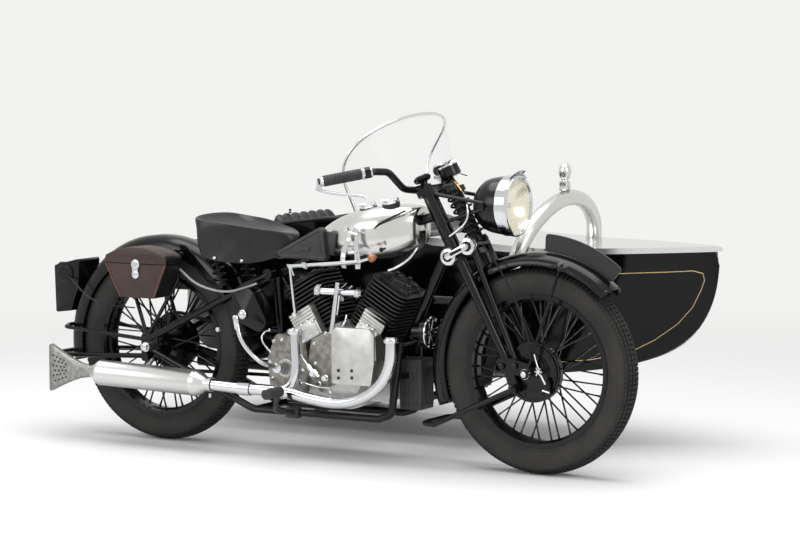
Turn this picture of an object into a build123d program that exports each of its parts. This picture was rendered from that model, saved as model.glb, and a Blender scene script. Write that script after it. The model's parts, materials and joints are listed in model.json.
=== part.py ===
from build123d import *
import os
from math import asin, atan2, cos, radians, sin, sqrt, tan

# Sidecar motorcycle. Millimetres, X forward, Y to the left (towards the sidecar), Z up.
# The solids are laid out from the ground under the rear axle, on the machine's centre plane, and are
# moved at the end, so that the origin is under the middle of the whole outfit.

# ---- Driving dimensions: wheels ----
WHEELBASE = 1500.0
TYRE_RADIUS = 345.0
TYRE_WIDTH = 100.0
RIM_FLANGE_RADIUS = 256.0
RIM_WIDTH = 72.0
RIM_WELL_RADIUS = 232.0
RIM_WALL = 4.0
SPOKE_COUNT = 40
SPOKE_SIZE = 4.5
HUB_RADIUS = 32.0
HUB_FLANGE_RADIUS = 52.0
HUB_HALF_WIDTH = 42.0
DRUM_RADIUS = 100.0
DRUM_WIDTH = 20.0
AXLE_RADIUS = 10.0
RUNNING_GAP = 0.05

# ---- Driving dimensions: steering and fork ----
RAKE = 28.2
HEAD_SETBACK = 415.0
STEER_HEAD_Z = 900.0
HEAD_LENGTH = 216.0
HEAD_RADIUS = 25.0
STEM_RADIUS = 14.0
LEG_SPACING = 82.0
RIGID_LEG_OFFSET = 45.0
RIGID_LEG_TOP_RADIUS = 18.0
RIGID_LEG_FOOT_RADIUS = 13.0
RIGID_LEG_FOOT = -616.0
SPRUNG_LEG_RADIUS = 11.0
YOKE_THICKNESS = 22.0
HEAD_GAP = 0.5
STEER_HEAD_X = WHEELBASE - HEAD_SETBACK
STAND_SETBACK = 51.0

# ---- Driving dimensions: mudguards ----
MUDGUARD_RADIUS = 392.0
MUDGUARD_WIDTH = 124.0
MUDGUARD_WALL = 3.0
FRONT_VALANCE_RADIUS = 352.0
REAR_VALANCE_RADIUS = 330.0

# ---- Driving dimensions: sidecar ----
TRACK = 1090.0
SIDECAR_WHEEL_LEAD = 180.0
HULL_NEAR_Y = 390.0
HULL_FAR_Y = 930.0
HULL_BOTTOM_Z = 275.0
HULL_WALL = 8.0
DECK_EDGE_Z = 690.0
DECK_LIP = 10.0
BOW_X = 1850.0
HOOP_RADIUS = 22.0
HOOP_NEAR_Y = 343.0
HOOP_FAR_Y = 970.0
HOOP_FOOT_X = 1109.0
HOOP_LEAN = 15.5
HOOP_SIDE_ARC = 200.0
HOOP_SPRING = 416.0
HOOP_RISE = 657.0
CHASSIS_TUBE_Z = 240.0
CHASSIS_TUBE_RADIUS = 20.0
SCREEN_WALL = 5.0

# ---- Shared clearances ----
SEAT_GAP = 0.3

hull_mid_y = (HULL_NEAR_Y + HULL_FAR_Y) / 2
hull_half_width = (HULL_FAR_Y - HULL_NEAR_Y) / 2
front_axle_at = Vector(WHEELBASE, 0, TYRE_RADIUS)
rear_axle_at = Vector(0, 0, TYRE_RADIUS)
sidecar_axle_at = Vector(SIDECAR_WHEEL_LEAD, TRACK, TYRE_RADIUS)


# ---- Small shape helpers ----
def between(start, end, radius, end_radius=None):
    """A round bar, or a cone where end_radius is given, from one point to another."""
    start, end = Vector(*start), Vector(*end)
    place = Plane(origin=(start + end) * 0.5, z_dir=end - start)
    length = (end - start).length
    if end_radius is None or abs(end_radius - radius) < 1e-6:
        return place * Cylinder(radius, length)
    return place * Cone(radius, end_radius, length)


def bent_rod(points, radius, bend):
    """A round bar along straight runs joined by tangent arcs."""
    path = FilletPolyline(*points, radius=bend)
    return sweep(Plane(origin=path @ 0, z_dir=path % 0) * Circle(radius), path=path)


def block(x0, x1, y0, y1, z0, z1, edge=0.0):
    """A box given by its limits, with its edges rounded by edge."""
    shape = Box(x1 - x0, y1 - y0, z1 - z0)
    if edge:
        shape = fillet(shape.edges(), edge)
    return Pos((x0 + x1) / 2, (y0 + y1) / 2, (z0 + z1) / 2) * shape


def side_plate(points, y0, y1, corner=0.0):
    """A plate of the given X-Z outline between two values of Y, its corners rounded."""
    face = make_face(Polyline(*points, close=True))
    if corner:
        face = fillet(face.vertices(), corner)
    return Pos(0, y1, 0) * extrude(Plane.XZ * face, amount=y1 - y0)


def along_y(x, z, y0, y1, radius, end_radius=None):
    """A round bar, or a cone, across the machine."""
    return between((x, y0, z), (x, y1, z), radius, end_radius)


def wheel_ring(profile, centre, low=0.0, high=360.0):
    """A section of (Y, radius) points turned about a wheel's axle.

    low and high are degrees from straight ahead (0), over the top (90), to the back (180)."""
    face = make_face(Plane.YZ * Polyline(*profile, close=True))
    turned = revolve(face, axis=Axis.Y, revolution_arc=high - low)
    return Pos(*centre) * Rot(0, 90 - high, 0) * turned


def turned(profile, start, direction):
    """A closed (along, radius) outline turned about the line from start in the given direction."""
    place = Plane(origin=start, z_dir=direction)
    face = make_face(Plane.XZ * Polyline(*[(radius, along) for along, radius in profile], close=True))
    return place * revolve(face, axis=Axis.Z)


def fork_point(forward, y, up):
    """A point of the fork: forward of the steering axis, to the left, and up along it."""
    return (
        STEER_HEAD_X + forward * cos(radians(RAKE)) - up * sin(radians(RAKE)),
        y,
        STEER_HEAD_Z + forward * sin(radians(RAKE)) + up * cos(radians(RAKE)),
    )


fork_plane = Plane(
    origin=(STEER_HEAD_X, 0, STEER_HEAD_Z),
    x_dir=(cos(radians(RAKE)), 0, sin(radians(RAKE))),
    z_dir=(-sin(radians(RAKE)), 0, cos(radians(RAKE))),
)


def cross_section(x, width, height, z, corner):
    """An upright rounded rectangle across the machine, for lofting along X."""
    place = Plane(origin=(x, 0, z), x_dir=(0, 1, 0), z_dir=(1, 0, 0))
    return place * RectangleRounded(width, height, corner)


# ---- Wheels ----
def tyre(centre):
    half = TYRE_WIDTH / 2
    bead = RIM_WIDTH / 2 - RIM_WALL - SEAT_GAP
    bead_radius = RIM_FLANGE_RADIUS - 10
    lip_radius = RIM_FLANGE_RADIUS + 4
    shoulder, shoulder_radius = half - 12, TYRE_RADIUS - 14
    side_radius = (RIM_FLANGE_RADIUS + TYRE_RADIUS) / 2
    outline = (
        Polyline((-bead, lip_radius), (-bead, bead_radius), (bead, bead_radius), (bead, lip_radius))
        + ThreePointArc((bead, lip_radius), (half, side_radius), (shoulder, shoulder_radius))
        + ThreePointArc((shoulder, shoulder_radius), (0, TYRE_RADIUS), (-shoulder, shoulder_radius))
        + ThreePointArc((-shoulder, shoulder_radius), (-half, side_radius), (-bead, lip_radius))
    )
    return Pos(*centre) * revolve(make_face(Plane.YZ * outline), axis=Axis.Y)


def wheel(centre, drum_side):
    """Rim, laced spokes and hub as one rigid piece, its drum on the right (-1) or left (1)."""
    half = RIM_WIDTH / 2
    hub_inner = AXLE_RADIUS + RUNNING_GAP
    rim_profile = [
        (-half, RIM_FLANGE_RADIUS),
        (-half, RIM_FLANGE_RADIUS - 15),
        (-half + 14, RIM_FLANGE_RADIUS - 17),
        (-half + 22, RIM_WELL_RADIUS),
        (half - 22, RIM_WELL_RADIUS),
        (half - 14, RIM_FLANGE_RADIUS - 17),
        (half, RIM_FLANGE_RADIUS - 15),
        (half, RIM_FLANGE_RADIUS),
        (half - RIM_WALL, RIM_FLANGE_RADIUS),
        (half - RIM_WALL, RIM_FLANGE_RADIUS - 11),
        (half - 16, RIM_FLANGE_RADIUS - 13),
        (half - 24, RIM_WELL_RADIUS + RIM_WALL),
        (-half + 24, RIM_WELL_RADIUS + RIM_WALL),
        (-half + 16, RIM_FLANGE_RADIUS - 13),
        (-half + RIM_WALL, RIM_FLANGE_RADIUS - 11),
        (-half + RIM_WALL, RIM_FLANGE_RADIUS),
    ]
    hub_profile = [
        (-HUB_HALF_WIDTH, hub_inner),
        (-HUB_HALF_WIDTH, HUB_FLANGE_RADIUS),
        (-HUB_HALF_WIDTH + 6, HUB_FLANGE_RADIUS),
        (-HUB_HALF_WIDTH + 10, HUB_RADIUS),
        (HUB_HALF_WIDTH - 10, HUB_RADIUS),
        (HUB_HALF_WIDTH - 6, HUB_FLANGE_RADIUS),
        (HUB_HALF_WIDTH, HUB_FLANGE_RADIUS),
        (HUB_HALF_WIDTH, hub_inner),
    ]
    shape = wheel_ring(rim_profile, (0, 0, 0)) + wheel_ring(hub_profile, (0, 0, 0))
    inner, outer = sorted((drum_side * (HUB_HALF_WIDTH - 4), drum_side * (HUB_HALF_WIDTH - 4 + DRUM_WIDTH)))
    shape += along_y(0, 0, inner, outer, DRUM_RADIUS) - along_y(0, 0, inner - 1, outer + 1, hub_inner)
    spokes = []
    for index in range(SPOKE_COUNT):
        side = 1 if index % 2 else -1
        trail = 32 if index % 4 < 2 else -32
        rim_angle = radians(360.0 * index / SPOKE_COUNT)
        hub_angle = rim_angle + radians(trail)
        hub_reach, rim_reach = HUB_FLANGE_RADIUS - 5, RIM_WELL_RADIUS + 2
        hub_end = Vector(hub_reach * cos(hub_angle), side * (HUB_HALF_WIDTH - 3), hub_reach * sin(hub_angle))
        rim_end = Vector(rim_reach * cos(rim_angle), side * 7, rim_reach * sin(rim_angle))
        run = rim_end - hub_end
        place = Plane(origin=(hub_end + rim_end) * 0.5, z_dir=run)
        spokes.append(place * Box(SPOKE_SIZE, SPOKE_SIZE, run.length))
    return Pos(*centre) * shape.fuse(*spokes)


def mudguard(centre, low, high, valance_radius):
    """A pressed mudguard: a rounded crown with a side wall down to valance_radius."""
    half, wall, shoulder = MUDGUARD_WIDTH / 2, MUDGUARD_WALL, 26.0
    profile = [
        (-half, valance_radius),
        (-half, MUDGUARD_RADIUS - shoulder),
        (-half + 16, MUDGUARD_RADIUS - 9),
        (-half + 38, MUDGUARD_RADIUS),
        (half - 38, MUDGUARD_RADIUS),
        (half - 16, MUDGUARD_RADIUS - 9),
        (half, MUDGUARD_RADIUS - shoulder),
        (half, valance_radius),
        (half - wall, valance_radius),
        (half - wall, MUDGUARD_RADIUS - shoulder - 1),
        (half - 18, MUDGUARD_RADIUS - 12),
        (half - 39, MUDGUARD_RADIUS - wall),
        (-half + 39, MUDGUARD_RADIUS - wall),
        (-half + 18, MUDGUARD_RADIUS - 12),
        (-half + wall, MUDGUARD_RADIUS - shoulder - 1),
        (-half + wall, valance_radius),
    ]
    return wheel_ring(profile, centre, low, high)


nodes = {}


def joined(shapes):
    """One solid of the given overlapping shapes."""
    first, *others = shapes
    for other in others:
        first = first + other
    return first


def apart(shapes):
    """One node of shapes that don't touch each other."""
    return Compound(children=[Part(shape.wrapped) for shape in shapes])


def mirrored(make):
    """The right-hand and left-hand results of make(side), side being -1 and 1."""
    return [make(side) for side in (-1, 1)]


def across(x, z, side, inner, outer, radius):
    """A round bar on one side, between two distances from the centre plane."""
    return along_y(x, z, *sorted((side * inner, side * outer)), radius)


# ---- Steering head and main frame ----
tank_rail_front = fork_point(-10, 0, -60)
down_tube_top = fork_point(-10, 0, -172)
down_tube_foot = Vector(1003, 0, 415)
seat_lug = Vector(475, 0, 622)
seat_tube_foot = Vector(505, 0, 215)
rail_y = 88.0
stand_pivot_x, stand_pivot_z, stand_pin = -6.0, 312.0, 7.0
stand_y = 118.0
axle_lug_y, axle_lug_half = 103.0, 6.0


def frame_side(side):
    """Lower rail, seat stay, axle lug, saddle spring lug and battery lug of one side."""
    rail = [
        (down_tube_foot.X, side * 66, down_tube_foot.Z),
        (982, side * rail_y, 168),
        (930, side * rail_y, 150),
        (424, side * rail_y, 150),
        (0, side * axle_lug_y, 338),
    ]
    lug_faces = side * axle_lug_y - axle_lug_half, side * axle_lug_y + axle_lug_half
    return joined([
        bent_rod(rail, 13, [28, 40, 80]),
        between((seat_lug.X, side * 62, seat_lug.Z), (6, side * axle_lug_y, 374), 12),
        side_plate([(-34, 290), (-34, 388), (36, 392), (36, 294)], *lug_faces, 10),
        between((300, side * 77, 531), (300, side * 92, 582), 9),
        block(990, 1026, *sorted((side * 46, side * 74)), 292, 312),
    ])


def frame_shape():
    head = fork_plane * Pos(0, 0, -HEAD_LENGTH / 2) * Cylinder(HEAD_RADIUS, HEAD_LENGTH)
    stem_bore = fork_plane * Pos(0, 0, -HEAD_LENGTH / 2) * Cylinder(STEM_RADIUS + RUNNING_GAP, HEAD_LENGTH + 90)
    tubes = [
        between(tank_rail_front, (640, 0, 690), 16),
        between((640, 0, 690), seat_lug, 16),
        between(down_tube_top, down_tube_foot, 17),
        between(seat_lug, seat_tube_foot, 16),
        along_y(seat_lug.X, seat_lug.Z, -72, 72, 18),
        along_y(down_tube_foot.X, down_tube_foot.Z, -74, 74, 15),
        along_y(450, 152, -rail_y, rail_y, 13),
        between((492, 0, 420), (380, 0, 420), 9),
    ]
    shape = joined([head, *tubes, *mirrored(frame_side)]) - stem_bore
    shape -= along_y(0, TYRE_RADIUS, -130, 130, AXLE_RADIUS)
    for side in (-1, 1):
        shape -= across(stand_pivot_x, stand_pivot_z, side, axle_lug_y - 8, axle_lug_y + 8, stand_pin + RUNNING_GAP)
    return shape


frame = nodes["frame"] = frame_shape()

rear_axle = along_y(0, TYRE_RADIUS, -130, 130, AXLE_RADIUS)
for low, high in ((-126, -axle_lug_y - 6), (axle_lug_y + 6, 126), (66, axle_lug_y - 6), (6 - axle_lug_y, -48)):
    rear_axle += along_y(0, TYRE_RADIUS, low, high, 15)
nodes["rear_axle"] = rear_axle - frame

# ---- Engine: a finned V-twin on one crankcase ----
crank_x, crank_z = 790.0, 300.0
crankcase_half = 62.0
cylinder_lean = 30.0
fin_first, fin_last, fin_count, fin_wall = 175.0, 345.0, 13, 5.0
fin_length, fin_width, barrel_radius = 158.0, 176.0, 52.0
chest_low, chest_high = 150.0, 256.0
chest_near, chest_far, chest_rib_count, chest_rib_gap = -90.0, -126.0, 5, 5.0


def cylinder_plane(lean):
    """Frame of a cylinder: z along its bore from the crank, y across the machine."""
    return Plane(
        origin=(crank_x, 0, crank_z),
        x_dir=(cos(radians(lean)), 0, -sin(radians(lean))),
        z_dir=(sin(radians(lean)), 0, cos(radians(lean))),
    )


def cylinder(lean):
    """A barrel and head with square-set cooling fins, cut off at the plane between the two cylinders."""
    shape = Pos(0, 0, (fin_first + fin_last) / 2 - 10) * Cylinder(barrel_radius, fin_last - fin_first + 20)
    pitch = (fin_last - fin_first) / (fin_count - 1)
    for index in range(fin_count):
        shape += Pos(0, 0, fin_first + index * pitch) * extrude(RectangleRounded(fin_length, fin_width, 34), amount=fin_wall)
    head_cap = Pos(0, 0, fin_last) * extrude(RectangleRounded(fin_length - 44, fin_width - 50, 30), amount=fin_wall + 9)
    own_side = Pos(crank_x + (-203 if lean < 0 else 203), 0, 500) * Box(400, 400, 1000)
    return (cylinder_plane(lean) * (shape + head_cap)) & own_side


def valve_chest(lean):
    """A valve chest on the right of a cylinder, ribbed over its upper half."""
    toward = -1 if lean < 0 else 1
    low_x, high_x = sorted((toward * -18, toward * 74))
    body = Pos((low_x + high_x) / 2, (chest_near + chest_far) / 2, (chest_low + chest_high) / 2) * Box(
        high_x - low_x, chest_near - chest_far, chest_high - chest_low
    )
    for index in range(chest_rib_count):
        level = chest_high - 10 - 11 * index
        body -= Pos((low_x + high_x) / 2, chest_far, level) * Box(high_x - low_x + 2, 2 * chest_rib_gap, chest_rib_gap)
    return cylinder_plane(lean) * body


def crankcase_shape():
    case = along_y(crank_x, crank_z, -crankcase_half, crankcase_half, 128)
    case += side_plate([(640, 205), (640, 330), (960, 330), (960, 205)], -crankcase_half, crankcase_half, 20)
    for lean in (-cylinder_lean, cylinder_lean):
        case += cylinder_plane(lean) * Pos(0, 0, 100) * Cylinder(barrel_radius + 10, 130)
    return case


crankcase = nodes["crankcase"] = crankcase_shape()
rear_cylinder = nodes["rear_cylinder"] = cylinder(-cylinder_lean) - crankcase
front_cylinder = nodes["front_cylinder"] = cylinder(cylinder_lean) - crankcase
cylinders = rear_cylinder + front_cylinder

timing_covers = joined([
    side_plate([(664, 300), (684, 420), (792, 452), (896, 420), (900, 300), (860, 232), (720, 232)], -118, -crankcase_half, 12),
    side_plate([(783, 270), (783, 446), (800, 462), (930, 462), (948, 440), (948, 345), (936, 270)], -150, -crankcase_half, 9),
    along_y(949, 400, -140, -crankcase_half, 44),
    valve_chest(-cylinder_lean),
    valve_chest(cylinder_lean),
])
timing_covers = nodes["timing_covers"] = timing_covers - cylinders - crankcase - frame

inlet = joined([
    between((690, -98, 576), (874, -98, 576), 13),
    between((788, -117, 612), (768, -125, 436), 8.5),
    between((694, -98, 576), (712, -98, 576), 19),
    between((852, -98, 576), (870, -98, 576), 19),
    between((782, -98, 582), (770, -98, 500), 11),
    between((782, -98, 560), (786, -40, 586), 20),
])
nodes["inlet"] = inlet - cylinders - timing_covers

# ---- Gearbox, kick-starter, footrests and drive ----
gearbox = side_plate([(500, 205), (486, 330), (520, 420), (640, 405), (655, 300), (630, 215)], -88, 88, 22)
gearbox = nodes["gearbox"] = gearbox - crankcase - frame - cylinders - timing_covers

kickstart = bent_rod([(560, -180, 300), (560, -235, 305), (463, -235, 428), (451, -235, 480)], 9, [12, 40])
kickstart += along_y(560, 300, -200, -88, 22) + along_y(560, 300, -222, -170, 15)
nodes["kickstart"] = kickstart + between((451, -225, 478), (451, -330, 478), 14)


def footrest(side):
    """Hanger from the lower rail and the rubber outside the exhaust pipe."""
    hanger = bent_rod([(596, side * 92, 150), (604, side * 226, 172), (622, side * 236, 248)], 9, [20])
    return joined([
        hanger,
        across(622, 240, side, 224, 312, 18),
        block(570, 622, *sorted((side * 82, side * 108)), 132, 168, 3),
    ]) - frame


nodes["footrests"] = apart(mirrored(footrest))

primary = side_plate([(470, 245), (470, 370), (560, 395), (760, 420), (900, 380), (900, 235), (760, 205), (560, 235)], 96, 150, 50)
primary += along_y(crank_x, crank_z, crankcase_half, 97, 60) + along_y(560, 300, 88, 97, 50)
nodes["primary_case"] = primary - crankcase - gearbox

chain_rear_radius, chain_front_radius, chain_depth, gearbox_x, gearbox_z = 99.0, 44.0, 11.0, 560.0, 300.0


def belt(rear_radius, front_radius):
    """Outline round the two sprockets, their centres being the rear axle and the gearbox."""
    reach = sqrt(gearbox_x**2 + (TYRE_RADIUS - gearbox_z) ** 2)
    slope = atan2(gearbox_z - TYRE_RADIUS, gearbox_x)
    spread = asin((rear_radius - front_radius) / reach)
    points = []
    for sign in (1, -1):
        angle = slope + sign * (radians(90) - spread)
        points.append((rear_radius * cos(angle), TYRE_RADIUS + rear_radius * sin(angle)))
        points.append((gearbox_x + front_radius * cos(angle), gearbox_z + front_radius * sin(angle)))
    (a, b, c, d) = points
    back, front = slope + radians(180), slope
    lines = (
        Line(a, b)
        + ThreePointArc(b, (gearbox_x + front_radius * cos(front), gearbox_z + front_radius * sin(front)), d)
        + Line(d, c)
        + ThreePointArc(c, (rear_radius * cos(back), TYRE_RADIUS + rear_radius * sin(back)), a)
    )
    return Pos(0, 76, 0) * extrude(Plane.XZ * make_face(lines), amount=12)


chain = belt(chain_rear_radius + chain_depth, chain_front_radius + chain_depth) - belt(chain_rear_radius, chain_front_radius)
nodes["rear_chain"] = chain - gearbox - frame

# ---- Exhaust ----
silencer_front, silencer_rear = Vector(300, -190, 240), Vector(-189, -190, 252)
pipe_radius = 21.0
front_pipe = bent_rod(
    [(930, -108, 486), (1020, -120, 470), (1006, -150, 360), (960, -150, 205), (700, -155, 205), (600, -170, 236), (290, -190, 239.8)],
    pipe_radius,
    [24, 50, 90, 60, 60],
)
rear_pipe = bent_rod(
    [(668, -112, 462), (618, -124, 452), (636, -152, 320), (616, -156, 262), (572, -172, 237)], pipe_radius - 1, [24, 60, 40]
)
exhaust = (front_pipe + rear_pipe) - timing_covers - cylinders - gearbox - crankcase - frame
exhaust = nodes["exhaust_pipes"] = exhaust.solids().sort_by(SortBy.VOLUME)[-1]
silencer_length = (silencer_rear - silencer_front).length
silencer = turned(
    [(0, 0), (0, 26), (46, 45), (silencer_length - 40, 45), (silencer_length, 20), (silencer_length, 0)],
    silencer_front,
    silencer_rear - silencer_front,
) - exhaust
silencer_hanger = between((20, -axle_lug_y - 4, 300), (20, -158, 268), 8) - silencer - frame
fishtail = loft(
    [
        Plane(origin=(-189.8, -190, 252), x_dir=(0, 1, 0), z_dir=(-1, 0, 0)) * RectangleRounded(40, 42, 15),
        Plane(origin=(-370, -190, 256), x_dir=(0, 1, 0), z_dir=(-1, 0, 0)) * RectangleRounded(34, 170, 8),
    ]
)
nodes["silencer"] = apart([silencer + silencer_hanger, fishtail - silencer])

# ---- Tank and its fittings ----
tank_sections = [(694, 150, 96, 742, 40), (800, 236, 150, 768, 66), (950, 246, 178, 786, 76), (1052, 120, 130, 806, 52)]
tank = loft([cross_section(*section) for section in tank_sections])
tank = nodes["tank"] = tank - block(600, 1200, -24, 24, 600, 790) - frame
knee_outline = [(548, 704), (572, 684), (748, 680), (756, 690), (742, 796), (724, 800)]


def knee_grip(side):
    """A ribbed rubber knee grip and its bracket to the tank."""
    pad = side_plate(knee_outline, *sorted((side * 108, side * 140)), 8)
    return joined([pad, across(728, 738, side, 70, 110, 14), across(600, 706, side, 40, 110, 8)]) - tank - frame


def filler_cap(x, z):
    cap = Pos(x, -52, z) * Cylinder(30, 34) + Pos(x, -52, z + 17) * Cylinder(8, 8)
    return (cap + Pos(x, -52, z + 22) * Box(54, 7, 8)) - tank


tank_fittings = [filler_cap(875, 868), filler_cap(962, 880), *mirrored(knee_grip)]
nodes["tank_fittings"] = apart(tank_fittings)
tank_fittings_shape = joined(tank_fittings)

# ---- Gear change: gate on the tank, lever, linkage tube and rod down to the gearbox ----
gate_slats = [[(838, 664), (852, 664), (852, 806), (838, 812)], [(872, 664), (886, 664), (896, 800), (882, 806)]]
gear_change = joined([
    between((616, -158, 661), (900, -163, 690), 8),
    between((900, -163, 690), (948, -168, 704), 5),
    between((945, -168, 692), (962, -174, 718), 15),
    *[side_plate(slat, -162, -152) for slat in gate_slats],
    along_y(864, 724, -155, -112, 9),
    side_plate([(836, 712), (892, 712), (892, 736), (836, 736)], -158, -150),
    between((622, -159, 664), (630, -158, 494), 6),
    along_y(632, 496, -164, -126, 8),
])
nodes["gear_change"] = gear_change - tank - gearbox - exhaust - timing_covers - cylinders - tank_fittings_shape

# ---- Tool box, battery box and horn ----
tool_box = side_plate([(352, 470), (366, 552), (430, 575), (452, 560), (505, 462), (478, 422)], -125, -62, 14)
nodes["tool_box"] = (tool_box + along_y(410, 483, -131, -124, 16)) - frame - gearbox
nodes["battery_box"] = block(988, 1072, -46, 46, 184, 356, 6) - frame
nodes["horn"] = (between((1036, -20, 448), (1074, -20, 448), 30) + between((1074, -20, 448), (1096, -20, 448), 52)) - frame

# ---- Saddle ----
saddle_sections = [
    (130, 96, 30, 780, 12), (200, 262, 84, 764, 38), (330, 330, 146, 748, 62), (480, 268, 142, 726, 54), (600, 112, 62, 728, 26), (636, 70, 36, 724, 15),
]
saddle = loft([cross_section(*section) for section in saddle_sections])
saddle = nodes["saddle"] = saddle - frame - tank - tank_fittings_shape


def saddle_spring(side):
    """A coil spring, drawn as its outline with a waist at each turn."""
    foot, top = Vector(300, side * 92, 578), Vector(262, side * 92, 720)
    length, turns = (top - foot).length, 6
    outline = [(0.0, 0.0)]
    for index in range(turns):
        low, high = length * (index + 0.15) / turns, length * (index + 0.85) / turns
        outline += [(low, 19), (low, 26), (high, 26), (high, 19)]
    return turned([*outline, (length, 19), (length, 0.0)], foot, top - foot) - saddle - frame


nodes["saddle_springs"] = apart(mirrored(saddle_spring))

# ---- Rear mudguard, its stays, lamp and luggage ----
rear_mudguard = nodes["rear_mudguard"] = mudguard(rear_axle_at, 8, 192, REAR_VALANCE_RADIUS) - frame - saddle
stay_y, stay_radius = 103.0, 7.0
loop = bent_rod(
    [
        (x, y, TYRE_RADIUS + up)
        for x, y, up in (
            (-16, -stay_y, 23), (-372, -stay_y, 49), (-395, -60, 51), (-395, 60, 51), (-372, stay_y, 49), (-16, stay_y, 23),
        )
    ],
    stay_radius,
    [20, 20, 20, 20],
)


def carrier(side):
    """The two struts of a pannier carrier and the strap along the mudguard, on one side."""
    struts = [
        bent_rod([(-20, side * stay_y, TYRE_RADIUS + 21), (123, side * stay_y, 588), (112, side * stay_y, 678)], stay_radius, [30]),
        bent_rod([(-10, side * stay_y, TYRE_RADIUS + 27), (-55, side * stay_y, 503), (-120, side * stay_y, 672)], stay_radius, [30]),
        across(110, 664, side, 60, 106, stay_radius),
        across(-118, 664, side, 60, 106, stay_radius),
        side_plate([(-124, 656), (-120, 672), (118, 672), (122, 656)], *sorted((side * 98, side * 108))),
        side_plate([(104, 712), (132, 706), (262, 574), (246, 560), (110, 688)], *sorted((side * 61, side * 66))),
        across(118, 690, side, 63, 106, 5),
        across(112, 684, side, 96, 106, 10),
    ]
    return joined(struts)


rear_stays = joined([loop, *mirrored(carrier)]) - rear_mudguard - frame - saddle
rear_stays = nodes["rear_stays"] = rear_stays

rear_lamp = side_plate([(-446, 440), (-452, 612), (-340, 640), (-350, 452)], -62, 62, 8)
rear_lamp += turned([(0, 0), (0, 30), (22, 30), (34, 18), (34, 0)], (-446, 0, 585), (-1, 0, 0))
nodes["rear_lamp"] = rear_lamp - rear_mudguard - along_y(0, TYRE_RADIUS, -70, 70, MUDGUARD_RADIUS)

bag_outline = [(-122, 648), (140, 648), (86, 528), (-60, 528)]
lid_outline = [(-122, 650), (-118, 676), (-60, 700), (5, 707), (74, 702), (136, 682), (140, 650)]
pannier_inner, pannier_outer, leather = 112.0, 214.0, 5.0


def pannier(side):
    """An open-topped leather bag."""
    faces = sorted((side * pannier_inner, side * pannier_outer))
    cavity = [(x + leather * (1 if x < 0 else -1), z + (8 if z > 600 else leather)) for x, z in bag_outline]
    return (side_plate(bag_outline, *faces) - side_plate(cavity, faces[0] + leather, faces[1] - leather)) - rear_stays


def pannier_lid(side):
    faces = sorted((side * pannier_inner, side * pannier_outer))
    cavity = [(x * 0.955 + 0.4, z - leather) for x, z in lid_outline]
    return side_plate(lid_outline, *faces) - side_plate(cavity, faces[0] + leather, faces[1] - leather)


nodes["panniers"] = apart(mirrored(pannier))
nodes["pannier_lid_right"], nodes["pannier_lid_left"] = mirrored(pannier_lid)

# ---- Fork: stem, yokes and legs ----
stem_top, stem_foot = 30.0, -HEAD_LENGTH - 24
yoke_low = -HEAD_LENGTH - HEAD_GAP - YOKE_THICKNESS
yoke_boss_radius, yoke_back = 24.0, 4.0


def yokes_shape():
    """The steering stem and the two plates that hold the rigid legs, bossed round the stem."""
    shape = fork_plane * Pos(0, 0, (stem_top + stem_foot) / 2) * Cylinder(STEM_RADIUS, stem_top - stem_foot)
    front = RIGID_LEG_OFFSET + RIGID_LEG_TOP_RADIUS + 4
    for level in (HEAD_GAP, yoke_low):
        plate = Pos((yoke_back + front) / 2, 0, 0) * RectangleRounded(front - yoke_back, 2 * LEG_SPACING + 46, 18)
        shape += fork_plane * Pos(0, 0, level) * extrude(plate + Circle(yoke_boss_radius), amount=YOKE_THICKNESS)
    for side in (-1, 1):
        leg_top = fork_point(RIGID_LEG_OFFSET, side * LEG_SPACING, 60)
        leg_low = fork_point(RIGID_LEG_OFFSET, side * LEG_SPACING, -300)
        shape -= between(leg_top, leg_low, RIGID_LEG_TOP_RADIUS)
    head_clearance = fork_plane * Pos(0, 0, -HEAD_LENGTH / 2) * (
        Cylinder(70, HEAD_LENGTH + 2 * HEAD_GAP) - Cylinder(STEM_RADIUS, HEAD_LENGTH + 4)
    )
    return shape - head_clearance


yokes = nodes["fork_yokes"] = yokes_shape()

front_stand_x, front_stand_z, front_stand_y = WHEELBASE - STAND_SETBACK, TYRE_RADIUS - 56, 101.0
leg_taper = -300.0


def rigid_leg(side):
    """A tapered leg with its rocker boss and the lug that the front stand turns on."""
    top = fork_point(RIGID_LEG_OFFSET, side * LEG_SPACING, YOKE_THICKNESS + 8)
    taper = fork_point(RIGID_LEG_OFFSET, side * LEG_SPACING, leg_taper)
    foot = fork_point(RIGID_LEG_OFFSET, side * LEG_SPACING, RIGID_LEG_FOOT)
    hanger = [(RIGID_LEG_OFFSET - 14, -596), (RIGID_LEG_OFFSET + 14, -596), (46, -724), (18, -724)]
    leg = joined([
        between(top, taper, RIGID_LEG_TOP_RADIUS),
        between(taper, foot, RIGID_LEG_TOP_RADIUS, RIGID_LEG_FOOT_RADIUS),
        fork_plane * side_plate(hanger, *sorted((side * 78, side * 90)), 6),
        across(foot[0], foot[2], side, 69, 96.7, 17),
    ])
    return leg - across(front_stand_x, front_stand_z, side, 74, 94, 6 + RUNNING_GAP)


rigid_pair = mirrored(rigid_leg)
legs = nodes["rigid_legs"] = rigid_pair[0] + rigid_pair[1]

sprung_top_y, sprung_foot_y, sprung_foot_up = 58.0, 82.0, -632.0
axle_from_head = front_axle_at - Vector(STEER_HEAD_X, 0, STEER_HEAD_Z)
axle_forward = axle_from_head.X * cos(radians(RAKE)) + axle_from_head.Z * sin(radians(RAKE))
axle_up = -axle_from_head.X * sin(radians(RAKE)) + axle_from_head.Z * cos(radians(RAKE))


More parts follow.
